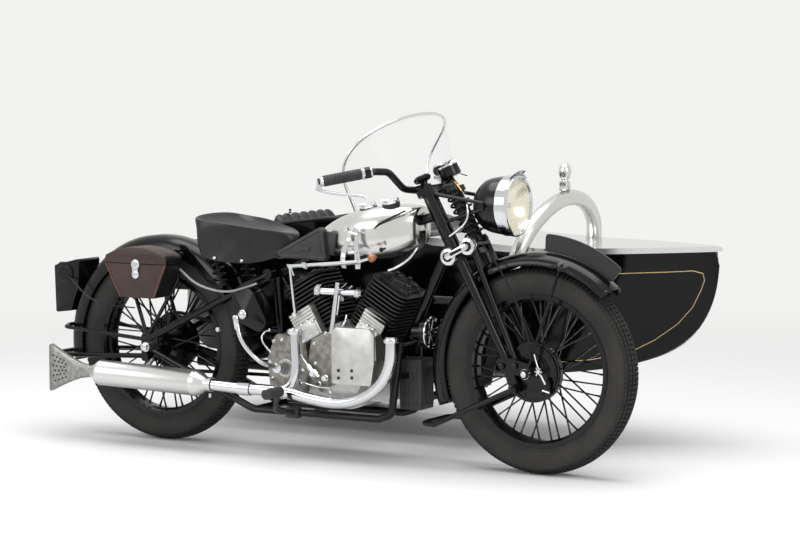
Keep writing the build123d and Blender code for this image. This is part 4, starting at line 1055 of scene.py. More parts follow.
def saddle_rings():
    """Closed rings of the saddle's hide: a dished top, a rolled edge and a creased skirt with its hem."""
    right = [(x, -y) for x, y in SADDLE_PLAN]
    plan = right + [(x, -y) for x, y in reversed(right[1:-1])]
    rings = []
    for share, dish, drop in SADDLE_RINGS:
        ring = []
        for x, y in plan:
            along = SADDLE_MIDDLE + (x - SADDLE_MIDDLE) * share
            sink = (30 if along < 380 else max(-4.0, 30 - (along - 380) * 0.22)) * dish
            ring.append((along, y * share, between_points(SADDLE_EDGE, along) - sink - drop))
        rings.append(ring)
    for fall, inset in (
        (0.2, 0.0), (0.45, 2.0), (0.7, 4.0), (0.93, 5.0), (1.0, 5.0), (0.98, 12.0), (0.5, 16.0), (0.22, 18.0)
    ):
        ring = []
        for index, (x, y) in enumerate(plan):
            hem_x = x + max(0.0, 250 - x) * fall
            top, low = between_points(SADDLE_EDGE, x) - 7, between_points(SADDLE_HEM, hem_x)
            fold = 10.0 * sin(1.35 * index + 2.6 * fall) * sin(pi * min(1.0, fall * 0.85))
            crease = fold * (1 if inset < 6 else 0)
            keep = 1 - (inset - crease) / 160
            along = SADDLE_MIDDLE + (hem_x - SADDLE_MIDDLE) * keep
            ring.append((along, y * keep, top + (low - top) * fall))
        rings.append(ring)
    return rings


def pleated(mesh, path, low, high, pleats, rise, corner=0.0):
    """A pad whose X-Z outline is swept across the body in sewn pleats, its ends rounded."""
    middle = Vector((sum(x for x, _ in path) / len(path), sum(z for _, z in path) / len(path)))
    steps = pleats * 6
    rings = []
    for step in range(steps + 1):
        share = step / steps
        bulge = rise * abs(sin(pi * share * pleats)) ** 0.6 - rise
        end = min(share, 1 - share) * (high - low)
        tuck = 0.0 if end > corner or not corner else corner - sqrt(max(0.0, corner**2 - (corner - end) ** 2))
        spots = []
        for x, z in path:
            out = (Vector((x, z)) - middle).normalized()
            drop = tuck if z > middle.y else 0.0
            along = x + out.x * bulge - min(tuck, 12) * (1 if x > middle.x else -0.2)
            spots.append((along, low + (high - low) * share, z + out.y * bulge - drop))
        rings.append(spots)
    skin(mesh, rings)


class SIDECAR_OT_saddle(bpy.types.Operator):
    """Stretches the sprung saddle's hide and winds its springs"""

    bl_idname = "sidecar.saddle"
    bl_label = "Saddle"

    def execute(self, context):
        mesh = bmesh.new()
        skin(mesh, saddle_rings())
        hide = finish_piece(
            "saddle_hide", mesh, "black_leather", "chassis", ["saddle"], smooth=180,
            subdivide=2,
        )
        studs = bmesh.new()
        for side in (-1, 1):
            for x, z, half in ((306, 676, 147), (400, 668, 118)):
                lathe(studs, [(0, 6), (2.5, 4.5), (3.5, 0)], (x, side * (half + 1), z), (0, side, 0), 16)
        finish_piece("saddle_rivets", studs, "chrome", "chassis")
        springs = bmesh.new()
        for side in (-1, 1):
            coil(springs, (300, side * 92, 578), (262, side * 92, 720), 22.5, 3.4, 6)
            for spot in ((300, side * 92, 575), (265, side * 92, 708)):
                lathe(springs, [(0, 0), (0, 25), (3, 25), (3, 0)], spot, (-0.26, 0, 0.97), 32)
            rod(springs, (300, side * 92, 578), (262, side * 92, 718), 5)
        finish_piece("saddle_coils", springs, "dark_steel", "chassis", ["saddle_springs"])
        return {"FINISHED"}


class SIDECAR_OT_sidecar_seat(bpy.types.Operator):
    """Stuffs and pleats the sidecar's cushion and squab"""

    bl_idname = "sidecar.seat"
    bl_label = "Sidecar seat"

    def execute(self, context):
        settings = context.scene.sidecar_seats
        low, high = HULL_MIDDLE - 209, HULL_MIDDLE + 209
        squab_path = [
            (226, 474), (233, 540), (238, 620), (236, 680), (228, 718), (214, 750), (194, 776), (174, 790),
            (160, 786), (154, 768), (156, 700), (156, 560), (156, 474),
        ]
        cushion_path = [
            (600, 284), (615, 300), (620, 360), (618, 420), (608, 448), (584, 464), (500, 470), (400, 470),
            (300, 468), (222, 464), (216, 440), (216, 300), (228, 284), (400, 283),
        ]
        for name, path, corner in (("seat_squab", squab_path, 46.0), ("seat_cushion", cushion_path, 0.0)):
            mesh = bmesh.new()
            pleated(mesh, path, low, high, settings.pleats, settings.pleat_rise, corner)
            piece = finish_piece(
                name, mesh, "black_leather", "chassis", ["sidecar_seat"], smooth=180,
                subdivide=1,
            )
        button = bmesh.new()
        lathe(
            button, [(0, 6), (3, 6), (4, 3), (9, 3), (11, 6), (15, 5), (17, 0)],
            (186, HULL_MIDDLE - 120, 787), (0, 0, 1), 24,
        )
        finish_piece("squab_knob", button, "black_enamel", "chassis")
        return {"FINISHED"}


def bag_ring(side, x0, x1, y0, y1, z, corner, belly=0.0):
    """A rounded ring of a pannier at height z; belly swells its broad outer face."""
    spots = []
    middle_x, middle_y = (x0 + x1) / 2, (y0 + y1) / 2
    half_x, half_y = (x1 - x0) / 2 - corner, (y1 - y0) / 2 - corner
    for quarter, (sx, sy) in enumerate(((1, 1), (-1, 1), (-1, -1), (1, -1))):
        for step in range(4):
            angle = radians(90 * quarter + 30 * step)
            spots.append(
                (middle_x + sx * half_x + corner * cos(angle), middle_y + sy * half_y + corner * sin(angle))
            )
        if quarter == 0:
            spots += [
                (middle_x + half_x * share, y1 + belly * (1 - share * share)) for share in (0.5, 0.0, -0.5)
            ]
    ring = [(x, side * y, z) for x, y in spots]
    return ring if side > 0 else ring[::-1]


class SIDECAR_OT_panniers(bpy.types.Operator):
    """Sews the two leather panniers, their lids, piping and locks"""

    bl_idname = "sidecar.panniers"
    bl_label = "Panniers"

    def execute(self, context):
        for side, name in ((-1, "right"), (1, "left")):
            bag = bmesh.new()
            rings = [
                bag_ring(
                    side, -116 + 62 * share, 148 - 54 * share, 112, 213 - 3 * share, 648 - 120 * share, 5,
                    2.5 * sin(pi * share),
                )
                for share in (0.0, 0.03, 0.2, 0.45, 0.7, 0.92, 0.98)
            ]
            rings.append(bag_ring(side, -48, 88, 118, 206, 528, 5))
            skin(bag, rings, capped=False)
            bmesh.ops.contextual_create(
                bag,
                geom=[
                    edge for edge in bag.edges if edge.is_boundary and edge.verts[0].co.z < at(0, 0, 540).z
                ],
            )
            bmesh.ops.recalc_face_normals(bag, faces=bag.faces)
            # The bag's front and rear ends, which look along X, take the black hide as painted shade for the
            # shadow on them; its broad sides and bottom keep the brown.
            for face in bag.faces:
                face.material_index = 1 if abs(face.normal.x) > 0.7 else 0
            finish_piece(
                "pannier_bag_" + name, bag, ["brown_leather", "black_leather"], "chassis", ["panniers"],
                smooth=60, wall=4.0,
            )
            lid = bmesh.new()
            profile = [
                (-123, 650), (-122, 664), (-117, 677), (-90, 689), (-60, 698), (-30, 704), (5, 707.5),
                (40, 706), (74, 701), (110, 691), (134, 680), (140, 666), (141, 650),
            ]
            rings = []
            for y, sink in ((111, 5), (113, 1.5), (118, 0), (165, -1.0), (208, 0), (213.5, 1.5), (215.5, 5)):
                rings.append(
                    [(x * (1 - sink / 180) + 7, side * y, z - (sink if z > 655 else 0)) for x, z in profile]
                )
            loops = []
            for spots in rings:
                verts = [lid.verts.new(at(*spot)) for spot in spots]
                loops.append([lid.edges.new(pair) for pair in zip(verts, verts[1:])])
            for first, second in zip(loops, loops[1:]):
                bmesh.ops.bridge_loops(lid, edges=first + second)
            for loop in (loops[0], loops[-1]):
                bmesh.ops.contextual_create(lid, geom=loop)
            bmesh.ops.recalc_face_normals(lid, faces=lid.faces)
            if sum(
                (face.calc_center_median().z - at(0, 0, 660).z) * face.normal.z * face.calc_area()
                for face in lid.faces
            ) < 0:
                bmesh.ops.reverse_faces(lid, faces=lid.faces)
            body = "pannier_lid_" + name
            # The lid's steep front and rear faces, which look along X, take the black hide as painted shade;
            # its top and its outer face keep the brown.
            for face in lid.faces:
                face.material_index = 1 if abs(face.normal.x) > 0.8 else 0
            finish_piece(
                "pannier_flap_" + name, lid, ["brown_leather", "black_leather"], body, [body],
                smooth=50, wall=4.0,
            )
            lock = bmesh.new()
            lathe(
                lock, [(0, 18), (2.5, 17.5), (4.5, 14), (5.2, 7), (5.2, 0)], (20, side * 215.6, 647),
                (0, side, 0), 32,
            )
            block(lock, (25, 4, 50), Matrix.Translation(at(20, side * 217.8, 630)), bevel=1.5)
            lathe(lock, [(0, 15), (2, 15), (4.5, 11), (5, 0)], (20, side * 216, 612), (0, side, 0), 32)
            finish_piece("pannier_lock_" + name, lock, "chrome", body, smooth=35)
            edging = bmesh.new()
            for top, foot in ((-112, -52), (144, 91)):
                tube(
                    edging,
                    [(top, side * 213, 650), ((top + foot) / 2, side * 214, 590), (foot, side * 209, 531)],
                    1.5,
                )
            finish_piece("pannier_edging_" + name, edging, "russet", "chassis", smooth=60)
        return {"FINISHED"}


# ---- Lamps, instruments and controls ----
class SIDECAR_OT_headlamp(bpy.types.Operator):
    """Spins the headlamp's shell, bright rim, bowl and lens"""

    bl_idname = "sidecar.headlamp"
    bl_label = "Headlamp"

    def execute(self, context):
        back = (1259, 0, 885)
        mesh = bmesh.new()
        shell = [
            (0, 0), (0, 24), (3, 31), (16, 58), (30, 73), (44, 84), (64, 91), (90, 95.5), (112, 97.5),
            (112, 94), (90, 92), (44, 80), (16, 54), (6, 0),
        ]
        lathe(mesh, shell, back, (1, 0, 0), 72)
        rim = [
            (112, 98), (115, 100.5), (119, 101), (126, 100.5), (143, 102), (152, 102.5), (158, 100),
            (160, 96), (158, 91), (154, 89), (150, 90), (112, 96), (112, 98),
        ]
        lathe(mesh, rim, back, (1, 0, 0), 72, 1)
        bowl = [
            (152, 90), (148, 88.5), (132, 77), (112, 56), (100, 34), (95, 12), (94, 0), (91, 0), (92, 14),
            (98, 38), (110, 60), (130, 80), (146, 90.6), (152, 90),
        ]
        lathe(mesh, bowl, back, (1, 0, 0), 72, 2)
        lathe(mesh, [(94, 9), (120, 9), (126, 7), (129, 0)], back, (1, 0, 0), 24, 1)
        visor = [(146, 101.5), (156, 108), (165, 117), (166, 118.5), (154, 110.5), (146, 104.5), (146, 101.5)]
        faces = lathe(mesh, visor, back, (1, 0, 0), 72, 1)
        off = []
        for face in faces:
            spot = face.calc_center_median() - GROUND
            if spot.z < 0.9 or abs(spot.y) > 0.066 - 3.0 * (Vector((spot.y, spot.z - 0.885)).length - 0.1015):
                off.append(face)
        bmesh.ops.delete(mesh, geom=off, context="FACES")
        for side in (-1, 1):
            for up, end in ((2, (1332, side * 90, 896)), (-108, (1332, side * 90, 878))):
                leg = fork_at(45, side * 82, up)
                rod(mesh, leg, end, 6.5)
                lathe(mesh, [(-10, 0), (-10, 22), (10, 22), (10, 0)], leg, (-sin(RAKE), 0, cos(RAKE)), 32)
            bolt(mesh, (1332, side * 97, 887), (0, side, 0), 12, 6, 0)
        finish_piece(
            "headlamp_shell", mesh, ["black_enamel", "chrome", "reflector"], "fork", ["headlamp"],
            smooth=35,
        )
        lens = bmesh.new()
        lathe(
            lens,
            [
                (153, 89.6), (156, 89.8), (160, 82), (165, 64), (169, 40), (170, 0), (167, 0), (166, 40),
                (162, 64), (157, 82), (153, 89.6),
            ],
            back,
            (1, 0, 0),
            64,
        )
        finish_piece("headlamp_lens", lens, "lamp_glass", "fork", ["headlamp_glass"], smooth=35)
        tail = bmesh.new()
        lathe(tail, [(-2, 0), (-2, 33), (2, 34), (20, 34), (24, 31), (25, 0)], (-448, 0, 585), (-1, 0, 0), 48)
        lathe(tail, [(22, 28), (30, 25), (36, 14), (38, 0)], (-448, 0, 585), (-1, 0, 0), 48, 1)
        lathe(tail, [(0, 0), (0, 34), (4, 34), (7, 30), (7, 0)], (-402, -62, 585), (0, -1, 0), 48)
        lathe(tail, [(6, 27), (9, 24), (11, 0)], (-402, -62, 585), (0, -1, 0), 48)
        tube(
            tail,
            [
                (-392, -70, 580), (-350, -84, 560), (-300, -95, 520), (-240, -98, 490), (-160, -96, 480),
                (-70, -97, 478),
            ],
            2.4,
        )
        finish_piece("tail_lamp", tail, ["black_enamel", "ruby"], "chassis")
        return {"FINISHED"}


class SIDECAR_OT_controls(bpy.types.Operator):
    """Turns the grips, levers, steering damper knob, instruments and their cables"""

    bl_idname = "sidecar.controls"
    bl_label = "Controls and instruments"

    def execute(self, context):
        mesh = bmesh.new()
        for side in (-1, 1):
            inner, outer = Vector((1000, side * 302, 995.3)), Vector((892, side * 393, 969.9))
            run = outer - inner
            length = run.length
            grip = [(8, 0), (8, 17.5)]
            for rib in range(14):
                spot = 12 + (length - 24) * rib / 14
                grip += [(spot, 17.2), (spot + 1.5, 18.6), (spot + 6.5, 18.6), (spot + 8, 17.2)]
            lathe(mesh, [*grip, (length - 8, 18.5), (length - 6, 0)], inner, run, 32, 0)
            lathe(
                mesh, [(length - 6, 0), (length - 6, 16), (length, 17), (length + 5, 12), (length + 6, 0)],
                inner, run, 32, 1,
            )
            lathe(mesh, [(-2, 13), (-2, 19), (3, 21), (8, 19), (8, 13), (-2, 13)], inner, run, 32, 1)
            lathe(mesh, [(-22, 12.5), (-22, 19), (-2, 19), (-2, 12.5), (-22, 12.5)], inner, run, 32, 2)
            lathe(mesh, [(-27, 12.5), (-27, 17), (-22, 17), (-22, 12.5), (-27, 12.5)], inner, run, 32, 1)
            rod(mesh, (886, side * 398, 972), (888, side * 400, 940), 8, 1)
            rod(mesh, (878, side * 394, 946), (898, side * 406, 946), 6, 1)
            lever = [
                (888, side * 400, 943), (906, side * 388, 936), (940, side * 362, 929),
                (980, side * 334, 926), (1006, side * 316, 922), (1014, side * 310, 916),
            ]
            tube(mesh, lever, 5.2, 1)
        finish_piece(
            "grips_and_levers", mesh, ["black_rubber", "chrome", "black_enamel"], "fork", ["hand_controls"],
            smooth=35,
        )

        dials = bmesh.new()
        stem, up = fork_at(0, 0, 24), Vector((-sin(RAKE), 0, cos(RAKE)))
        lathe(
            dials,
            [(0, 0), (0, 12), (30, 12), (38, 15), (40, 26), (44, 29), (54, 29), (58, 25), (60, 12), (61, 0)],
            stem, up, 32,
        )
        for index in range(12):
            angle = 2 * pi * index / 12
            spoke = Matrix.Rotation(angle, 3, up) @ Vector((0, 1, 0))
            rod(dials, stem + up * 49 + spoke * 26, stem + up * 49 + spoke * 30.5, 3.2, segments=10)
        for middle, top, radius in (
            ((1146, 34, 972), (1128, 30, 1010), 38), ((1092, 60, 985), (1082, 60, 1010), 22)
        ):
            run = Vector(top) - Vector(middle)
            deep = run.length
            lathe(
                dials,
                [(0, 0), (0, radius * 0.86), (4, radius * 0.96), (deep - 5, radius * 0.97), (deep - 5, 0)],
                middle, run, 48,
            )
            lathe(
                dials,
                [
                    (deep - 6, radius * 0.97), (deep - 6, radius), (deep - 1, radius), (deep, radius * 0.95),
                    (deep, radius * 0.88), (deep - 4, radius * 0.86), (deep - 6, radius * 0.97),
                ],
                middle,
                run,
                48,
                1,
            )
            lathe(
                dials,
                [(deep - 4.5, 0), (deep - 4.5, radius * 0.88), (deep - 3.4, radius * 0.88), (deep - 3.4, 0)],
                middle, run, 48, 2,
            )
            rod(
                dials, Vector(middle) + run * 0.95,
                Vector(middle) + run * 0.95 + Vector((0, radius * 0.6, 0)), 1.1, 0,
            )
        rod(dials, fork_at(44, 24, 18), (1146, 33, 976), 8)
        rod(dials, fork_at(30, 60, 18), (1090, 60, 990), 7)
        rod(dials, (1148, 26, 970), (1178, 8, 949), 6.5, 3)
        rod(dials, (1177, 9, 950), (1204, -6, 927), 4.6, 3)
        tube(
            dials,
            [
                (1203, -5, 928), (1240, -50, 914), (1276, -100, 886), (1282, -104, 856), (1272, -105, 830),
                (1248, -106, 808), (1214, -108, 784),
            ],
            3.6,
            1,
        )
        rod(dials, (1130, 26, 1008), (1168, 60, 984), 3.2, 1)
        rod(dials, (1168, 60, 984), (1186, 70, 978), 4.4, 1)
        finish_piece(
            "damper_knob_and_dials", dials, ["black_enamel", "chrome", "dial", "brass"], "fork",
            ["instruments"], smooth=35,
        )
        return {"FINISHED"}


class SIDECAR_OT_fork_details(bpy.types.Operator):
    """Winds the fork springs and fits the damper discs, hub nuts, brake arm and rods"""

    bl_idname = "sidecar.fork_details"
    bl_label = "Fork details"

    def execute(self, context):
        springs = bmesh.new()
        for side in (-1, 1):
            foot, top = fork_at(92, side * 30, -203), fork_at(92, side * 30, -14)
            coil(springs, foot, top, 19.0, 4.0, 8)
            rod(springs, foot, top, 10)
            lathe(springs, [(-6, 0), (-6, 24), (6, 24), (6, 0)], foot, top - foot, 32)
            lathe(springs, [(-8, 0), (-8, 24), (8, 24), (8, 0)], top, top - foot, 32)
        rod(springs, fork_at(92, -50, -14), fork_at(92, 50, -14), 13)
        rod(springs, fork_at(40, 0, 4), fork_at(94, 0, -12), 15)
        finish_piece("fork_coils", springs, "dark_steel", "fork", ["fork_springs"], smooth=40)

        damper = bmesh.new()
        for forward, up in ((106, -222), (26, -222)):
            spot = fork_at(forward, -97, up)
            lathe(
                damper,
                [(0, 0), (0, 27), (6, 29), (7, 29), (7, 22), (16, 22), (16, 28), (21, 28), (23, 25), (23, 0)],
                spot, (0, -1, 0), 48, 1,
            )
            lathe(damper, [(22, 18), (25, 17), (26, 0)], spot, (0, -1, 0), 32, 0)
            bolt(damper, spot - Vector((0, 25, 0)), (0, -1, 0), 13, 6, 1)
        link = Vector(fork_at(106, -109, -222)) - Vector(fork_at(26, -109, -222))
        angle = Matrix.Rotation(-RAKE, 4, "Y")
        block(
            damper, (link.length + 8, 7, 22), Matrix.Translation(at(*fork_at(66, -126, -222))) @ angle, 1, 3
        )
        block(
            damper, (link.length - 34, 3, 10), Matrix.Translation(at(*fork_at(66, -130, -222))) @ angle, 0, 1
        )
        rod(damper, fork_at(98, -60, -222), fork_at(98, -98, -222), 12)
        finish_piece(
            "damper_discs", damper, ["black_enamel", "chrome"], "fork", ["fork_damper"], smooth=35
        )

        hub = bmesh.new()
        axle = FRONT_AXLE
        for side in (-1, 1):
            lathe(
                hub, [(0, 0), (0, 16), (3, 16), (3, 0)], axle + Vector((0, side * 121, 0)), (0, side, 0), 32
            )
            lathe(
                hub, [(3, 0), (3, 9), (13, 9), (15, 7), (15, 0)], axle + Vector((0, side * 121, 0)),
                (0, side, 0), 32, 1,
            )
            for x, z in ((1409, 365), (1457, 368), (1446, 295)):
                lathe(
                    hub, [(0, 0), (0, 10), (3, 11), (9, 10), (11, 7), (11, 0)], (x, side * 104.5, z),
                    (0, side, 0), 24,
                )
        lathe(hub, [(0, 88), (0, 92), (5, 92), (5, 88), (0, 88)], axle + Vector((0, -67, 0)), (0, -1, 0), 64)
        lathe(hub, [(0, 60), (0, 64), (4, 63), (4, 60), (0, 60)], axle + Vector((0, -67, 0)), (0, -1, 0), 64)
        star = Vector((1538, -72, 353))
        rod(hub, star, star + Vector((0, -30, 0)), 5, 1)
        for index in range(6):
            arm = Vector((cos(2 * pi * index / 6), 0, sin(2 * pi * index / 6)))
            rod(
                hub, star + Vector((0, -26, 0)), star + Vector((0, -26, 0)) + arm * 15, 4.2, 1,
                end_radius=2.6, segments=10,
            )
        rod(hub, (1515, -92, 420), star + Vector((0, -20, 0)), 3.2, 1)
        rod(hub, star + Vector((4, -20, -8)), (1562, -94, 312), 3.4, 1)
        block(
            hub, (16, 5, 62), Matrix.Translation(at(1564, -88, 300)) @ Matrix.Rotation(radians(-12), 4, "Y"),
            0, 2,
        )
        rod(hub, (1552, -94, 292), (1576, -94, 286), 3.4, 1)
        tube(
            hub, [(1510, -94, 424), (1488, -96, 500), (1450, -98, 590), (1395, -98, 690), (1330, -94, 760)],
            3.0,
        )
        for angle in (200, 250, 300, 350, 40, 90, 140):
            spot = axle + Vector((79 * cos(radians(angle)), -67, 79 * sin(radians(angle))))
            lathe(hub, [(0, 0), (0, 5), (3, 5), (4, 0)], spot, (0, -1, 0), 12)
        finish_piece("front_hub_details", hub, ["black_enamel", "chrome"], "fork", smooth=35)

        for centre, body, plate in ((REAR_AXLE, "chassis", -132), (SIDECAR_AXLE, "chassis", 60)):
            mesh = bmesh.new()
            side = -1 if centre is REAR_AXLE else 1
            lathe(
                mesh, [(-4, 0), (-4, 17), (0, 17), (0, 13), (12, 13), (14, 9), (14, 0)],
                centre + Vector((0, plate, 0)), (0, side, 0), 32,
            )
            finish_piece(("rear" if side < 0 else "sidecar") + "_axle_nut", mesh, "chrome", body, smooth=35)
        return {"FINISHED"}


# ---- Tank, gear change and engine ----
CRANK_X, CRANK_Z, CYLINDER_LEAN = 790, 300, 30


def cylinder_at(lean, forward, y, up):
    """A place on a cylinder leaning by lean degrees: forward of its bore, to the left and up the bore."""
    angle = radians(lean)
    return Vector(
        (
            CRANK_X + up * sin(angle) + forward * cos(angle), y,
            CRANK_Z + up * cos(angle) - forward * sin(angle),
        )
    )


class SIDECAR_OT_tank_fittings(bpy.types.Operator):
    """Moulds the knee grips and turns the winged filler caps"""

    bl_idname = "sidecar.tank_fittings"
    bl_label = "Tank fittings"

    def execute(self, context):
        mesh = bmesh.new()
        outline = [(552, 706), (572, 688), (744, 684), (752, 692), (740, 788), (726, 797)]
        for side in (-1, 1):
            verts = [mesh.verts.new(at(x, side * 108, z)) for x, z in outline]
            face = mesh.faces.new(verts)
            bmesh.ops.recalc_face_normals(mesh, faces=[face])
            pushed = bmesh.ops.extrude_face_region(mesh, geom=[face])
            top = [item for item in pushed["geom"] if isinstance(item, bmesh.types.BMFace)]
            bmesh.ops.translate(mesh, verts=list({v for f in top for v in f.verts}), vec=(0, side * 0.028, 0))
            bmesh.ops.recalc_face_normals(mesh, faces=mesh.faces)
            bmesh.ops.inset_region(mesh, faces=top, thickness=0.005, depth=0.004, use_even_offset=True)
            bmesh.ops.inset_region(mesh, faces=top, thickness=0.005, depth=0.0, use_even_offset=True)
            bmesh.ops.inset_region(mesh, faces=top, thickness=0.003, depth=-0.003, use_even_offset=True)
            block(mesh, (46, 4, 18), Matrix.Translation(at(668, side * 138.5, 722)), 0, 1.2)
            block(mesh, (40, 3, 12), Matrix.Translation(at(668, side * 140.6, 722)), 0, 1.0)
            rod(mesh, (728, side * 70, 738), (728, side * 110, 738), 14)
            rod(mesh, (600, side * 40, 706), (600, side * 110, 706), 8)
            pad = Matrix.Translation(at(757, side * 116, 744)) @ Matrix.Rotation(radians(10), 4, "Y")
            block(mesh, (44, 10, 76), pad, 0, 4)
        for x, z in ((872, 861), (960, 878)):
            up = (-0.16, -0.2, 1)
            lathe(
                mesh, [(-17, 0), (-17, 30), (-4, 30), (-2, 31), (5, 31), (7, 28), (7, 0)], (x, -52, z), up, 48
            )
            lathe(mesh, [(6, 28), (8, 28), (10, 25), (11, 12), (14, 10), (15, 0)], (x, -52, z), up, 48, 1)
            for side in (-1, 1):
                rod(
                    mesh, (x - 2, -55, z + 12), (x + side * 30 - 2, -55, z + 16 + side * 4), 3.8, 1,
                    end_radius=5.5,
                )
        finish_piece(
            "grips_and_caps", mesh, ["black_rubber", "chrome"], "chassis", ["tank_fittings"],
            smooth=30,
        )
        return {"FINISHED"}


class SIDECAR_OT_gear_change(bpy.types.Operator):
    """Fits the gear gate's twisted slats, the lever with its knob and the linkage"""

    bl_idname = "sidecar.gear_change"
    bl_label = "Gear change"

    def execute(self, context):
        mesh = bmesh.new()
        rod(mesh, (616, -158, 661), (900, -163, 690), 8)
        rod(mesh, (900, -163, 690), (948, -168, 704), 5.5)
        bolt(mesh, (686, -164, 668), (0, -1, 0), 18, 6)
        lathe(mesh, [(-9, 0), (-9, 10), (9, 10), (9, 0)], (620, -158, 661), (0, 0, 1), 24)
        rod(mesh, (622, -159, 664), (624, -158, 630), 7, end_radius=5)
        rod(mesh, (622, -159, 664), (630, -158, 494), 4.6)
        rod(mesh, (632, -166, 496), (632, -124, 496), 8)
        for foot, top, twist in ((845, 838, 22), (880, 892, -22)):
            before = set(mesh.verts)
            block(
                mesh,
                (19, 4, 142),
                Matrix.Translation(at((foot + top) / 2, -157, 736)) @ Matrix.Rotation(
                    radians(-(top - foot) * 0.4), 4, "Y"
                ),
                0,
                1.5,
            )
            slat = [vert for vert in mesh.verts if vert not in before]
            edges = [
                edge for edge in {edge for vert in slat for edge in vert.link_edges}
                if edge.calc_length() > 0.1
            ]
            bmesh.ops.subdivide_edges(mesh, edges=edges, cuts=10)
            middle = at((foot + top) / 2, -157, 736)
            for vert in [vert for vert in mesh.verts if vert not in before]:
                share = (vert.co.z - middle.z) / 0.071
                turn = Matrix.Rotation(radians(twist) * sin(pi * share), 3, "Z")
                flat = turn @ Vector((vert.co.x - middle.x, vert.co.y - middle.y, 0))
                vert.co.x, vert.co.y = middle.x + flat.x, middle.y + flat.y
        rod(mesh, (840, -156, 790), (892, -156, 780), 5)
        rod(mesh, (842, -156, 716), (888, -156, 722), 6)
        rod(mesh, (864, -157, 724), (864, -108, 724), 9)
        bolt(mesh, (848, -160, 790), (0, -1, 0), 9, 4)
        bolt(mesh, (884, -160, 720), (0, -1, 0), 9, 4)
        lathe(
            mesh, [(-15, 0), (-14, 6), (-10, 11), (0, 15.2), (9, 14), (13, 9), (15, 0)], (954, -171, 706),
            (0.57, -0.2, 0.8), 32, 1,
        )
        lathe(mesh, [(-7, 0), (-5, 5), (0, 8.5), (5, 5), (7, 0)], (978, -150, 733), (0, -1, 0), 24, 2)
        rod(mesh, (978, -150, 733), (976, -122, 735), 4, 2)
        finish_piece(
            "gear_gate_and_lever", mesh, ["chrome", "amber", "black_enamel"], "chassis", ["gear_change"],
            smooth=35,
        )
        trim = bmesh.new()
        tube(
            trim, [(934, -122, 797), (946, -126, 812), (972, -122, 826), (1004, -108, 844), (1034, -84, 862)],
            3.4, 0,
        )
        tube(
            trim, [(1066, -64, 736), (1062, -76, 716), (1040, -96, 690), (1006, -106, 668), (980, -106, 660)],
            4.5, 1,
        )
        finish_piece("tank_trim", trim, ["black_enamel", "chrome"], "chassis", smooth=60)
        return {"FINISHED"}


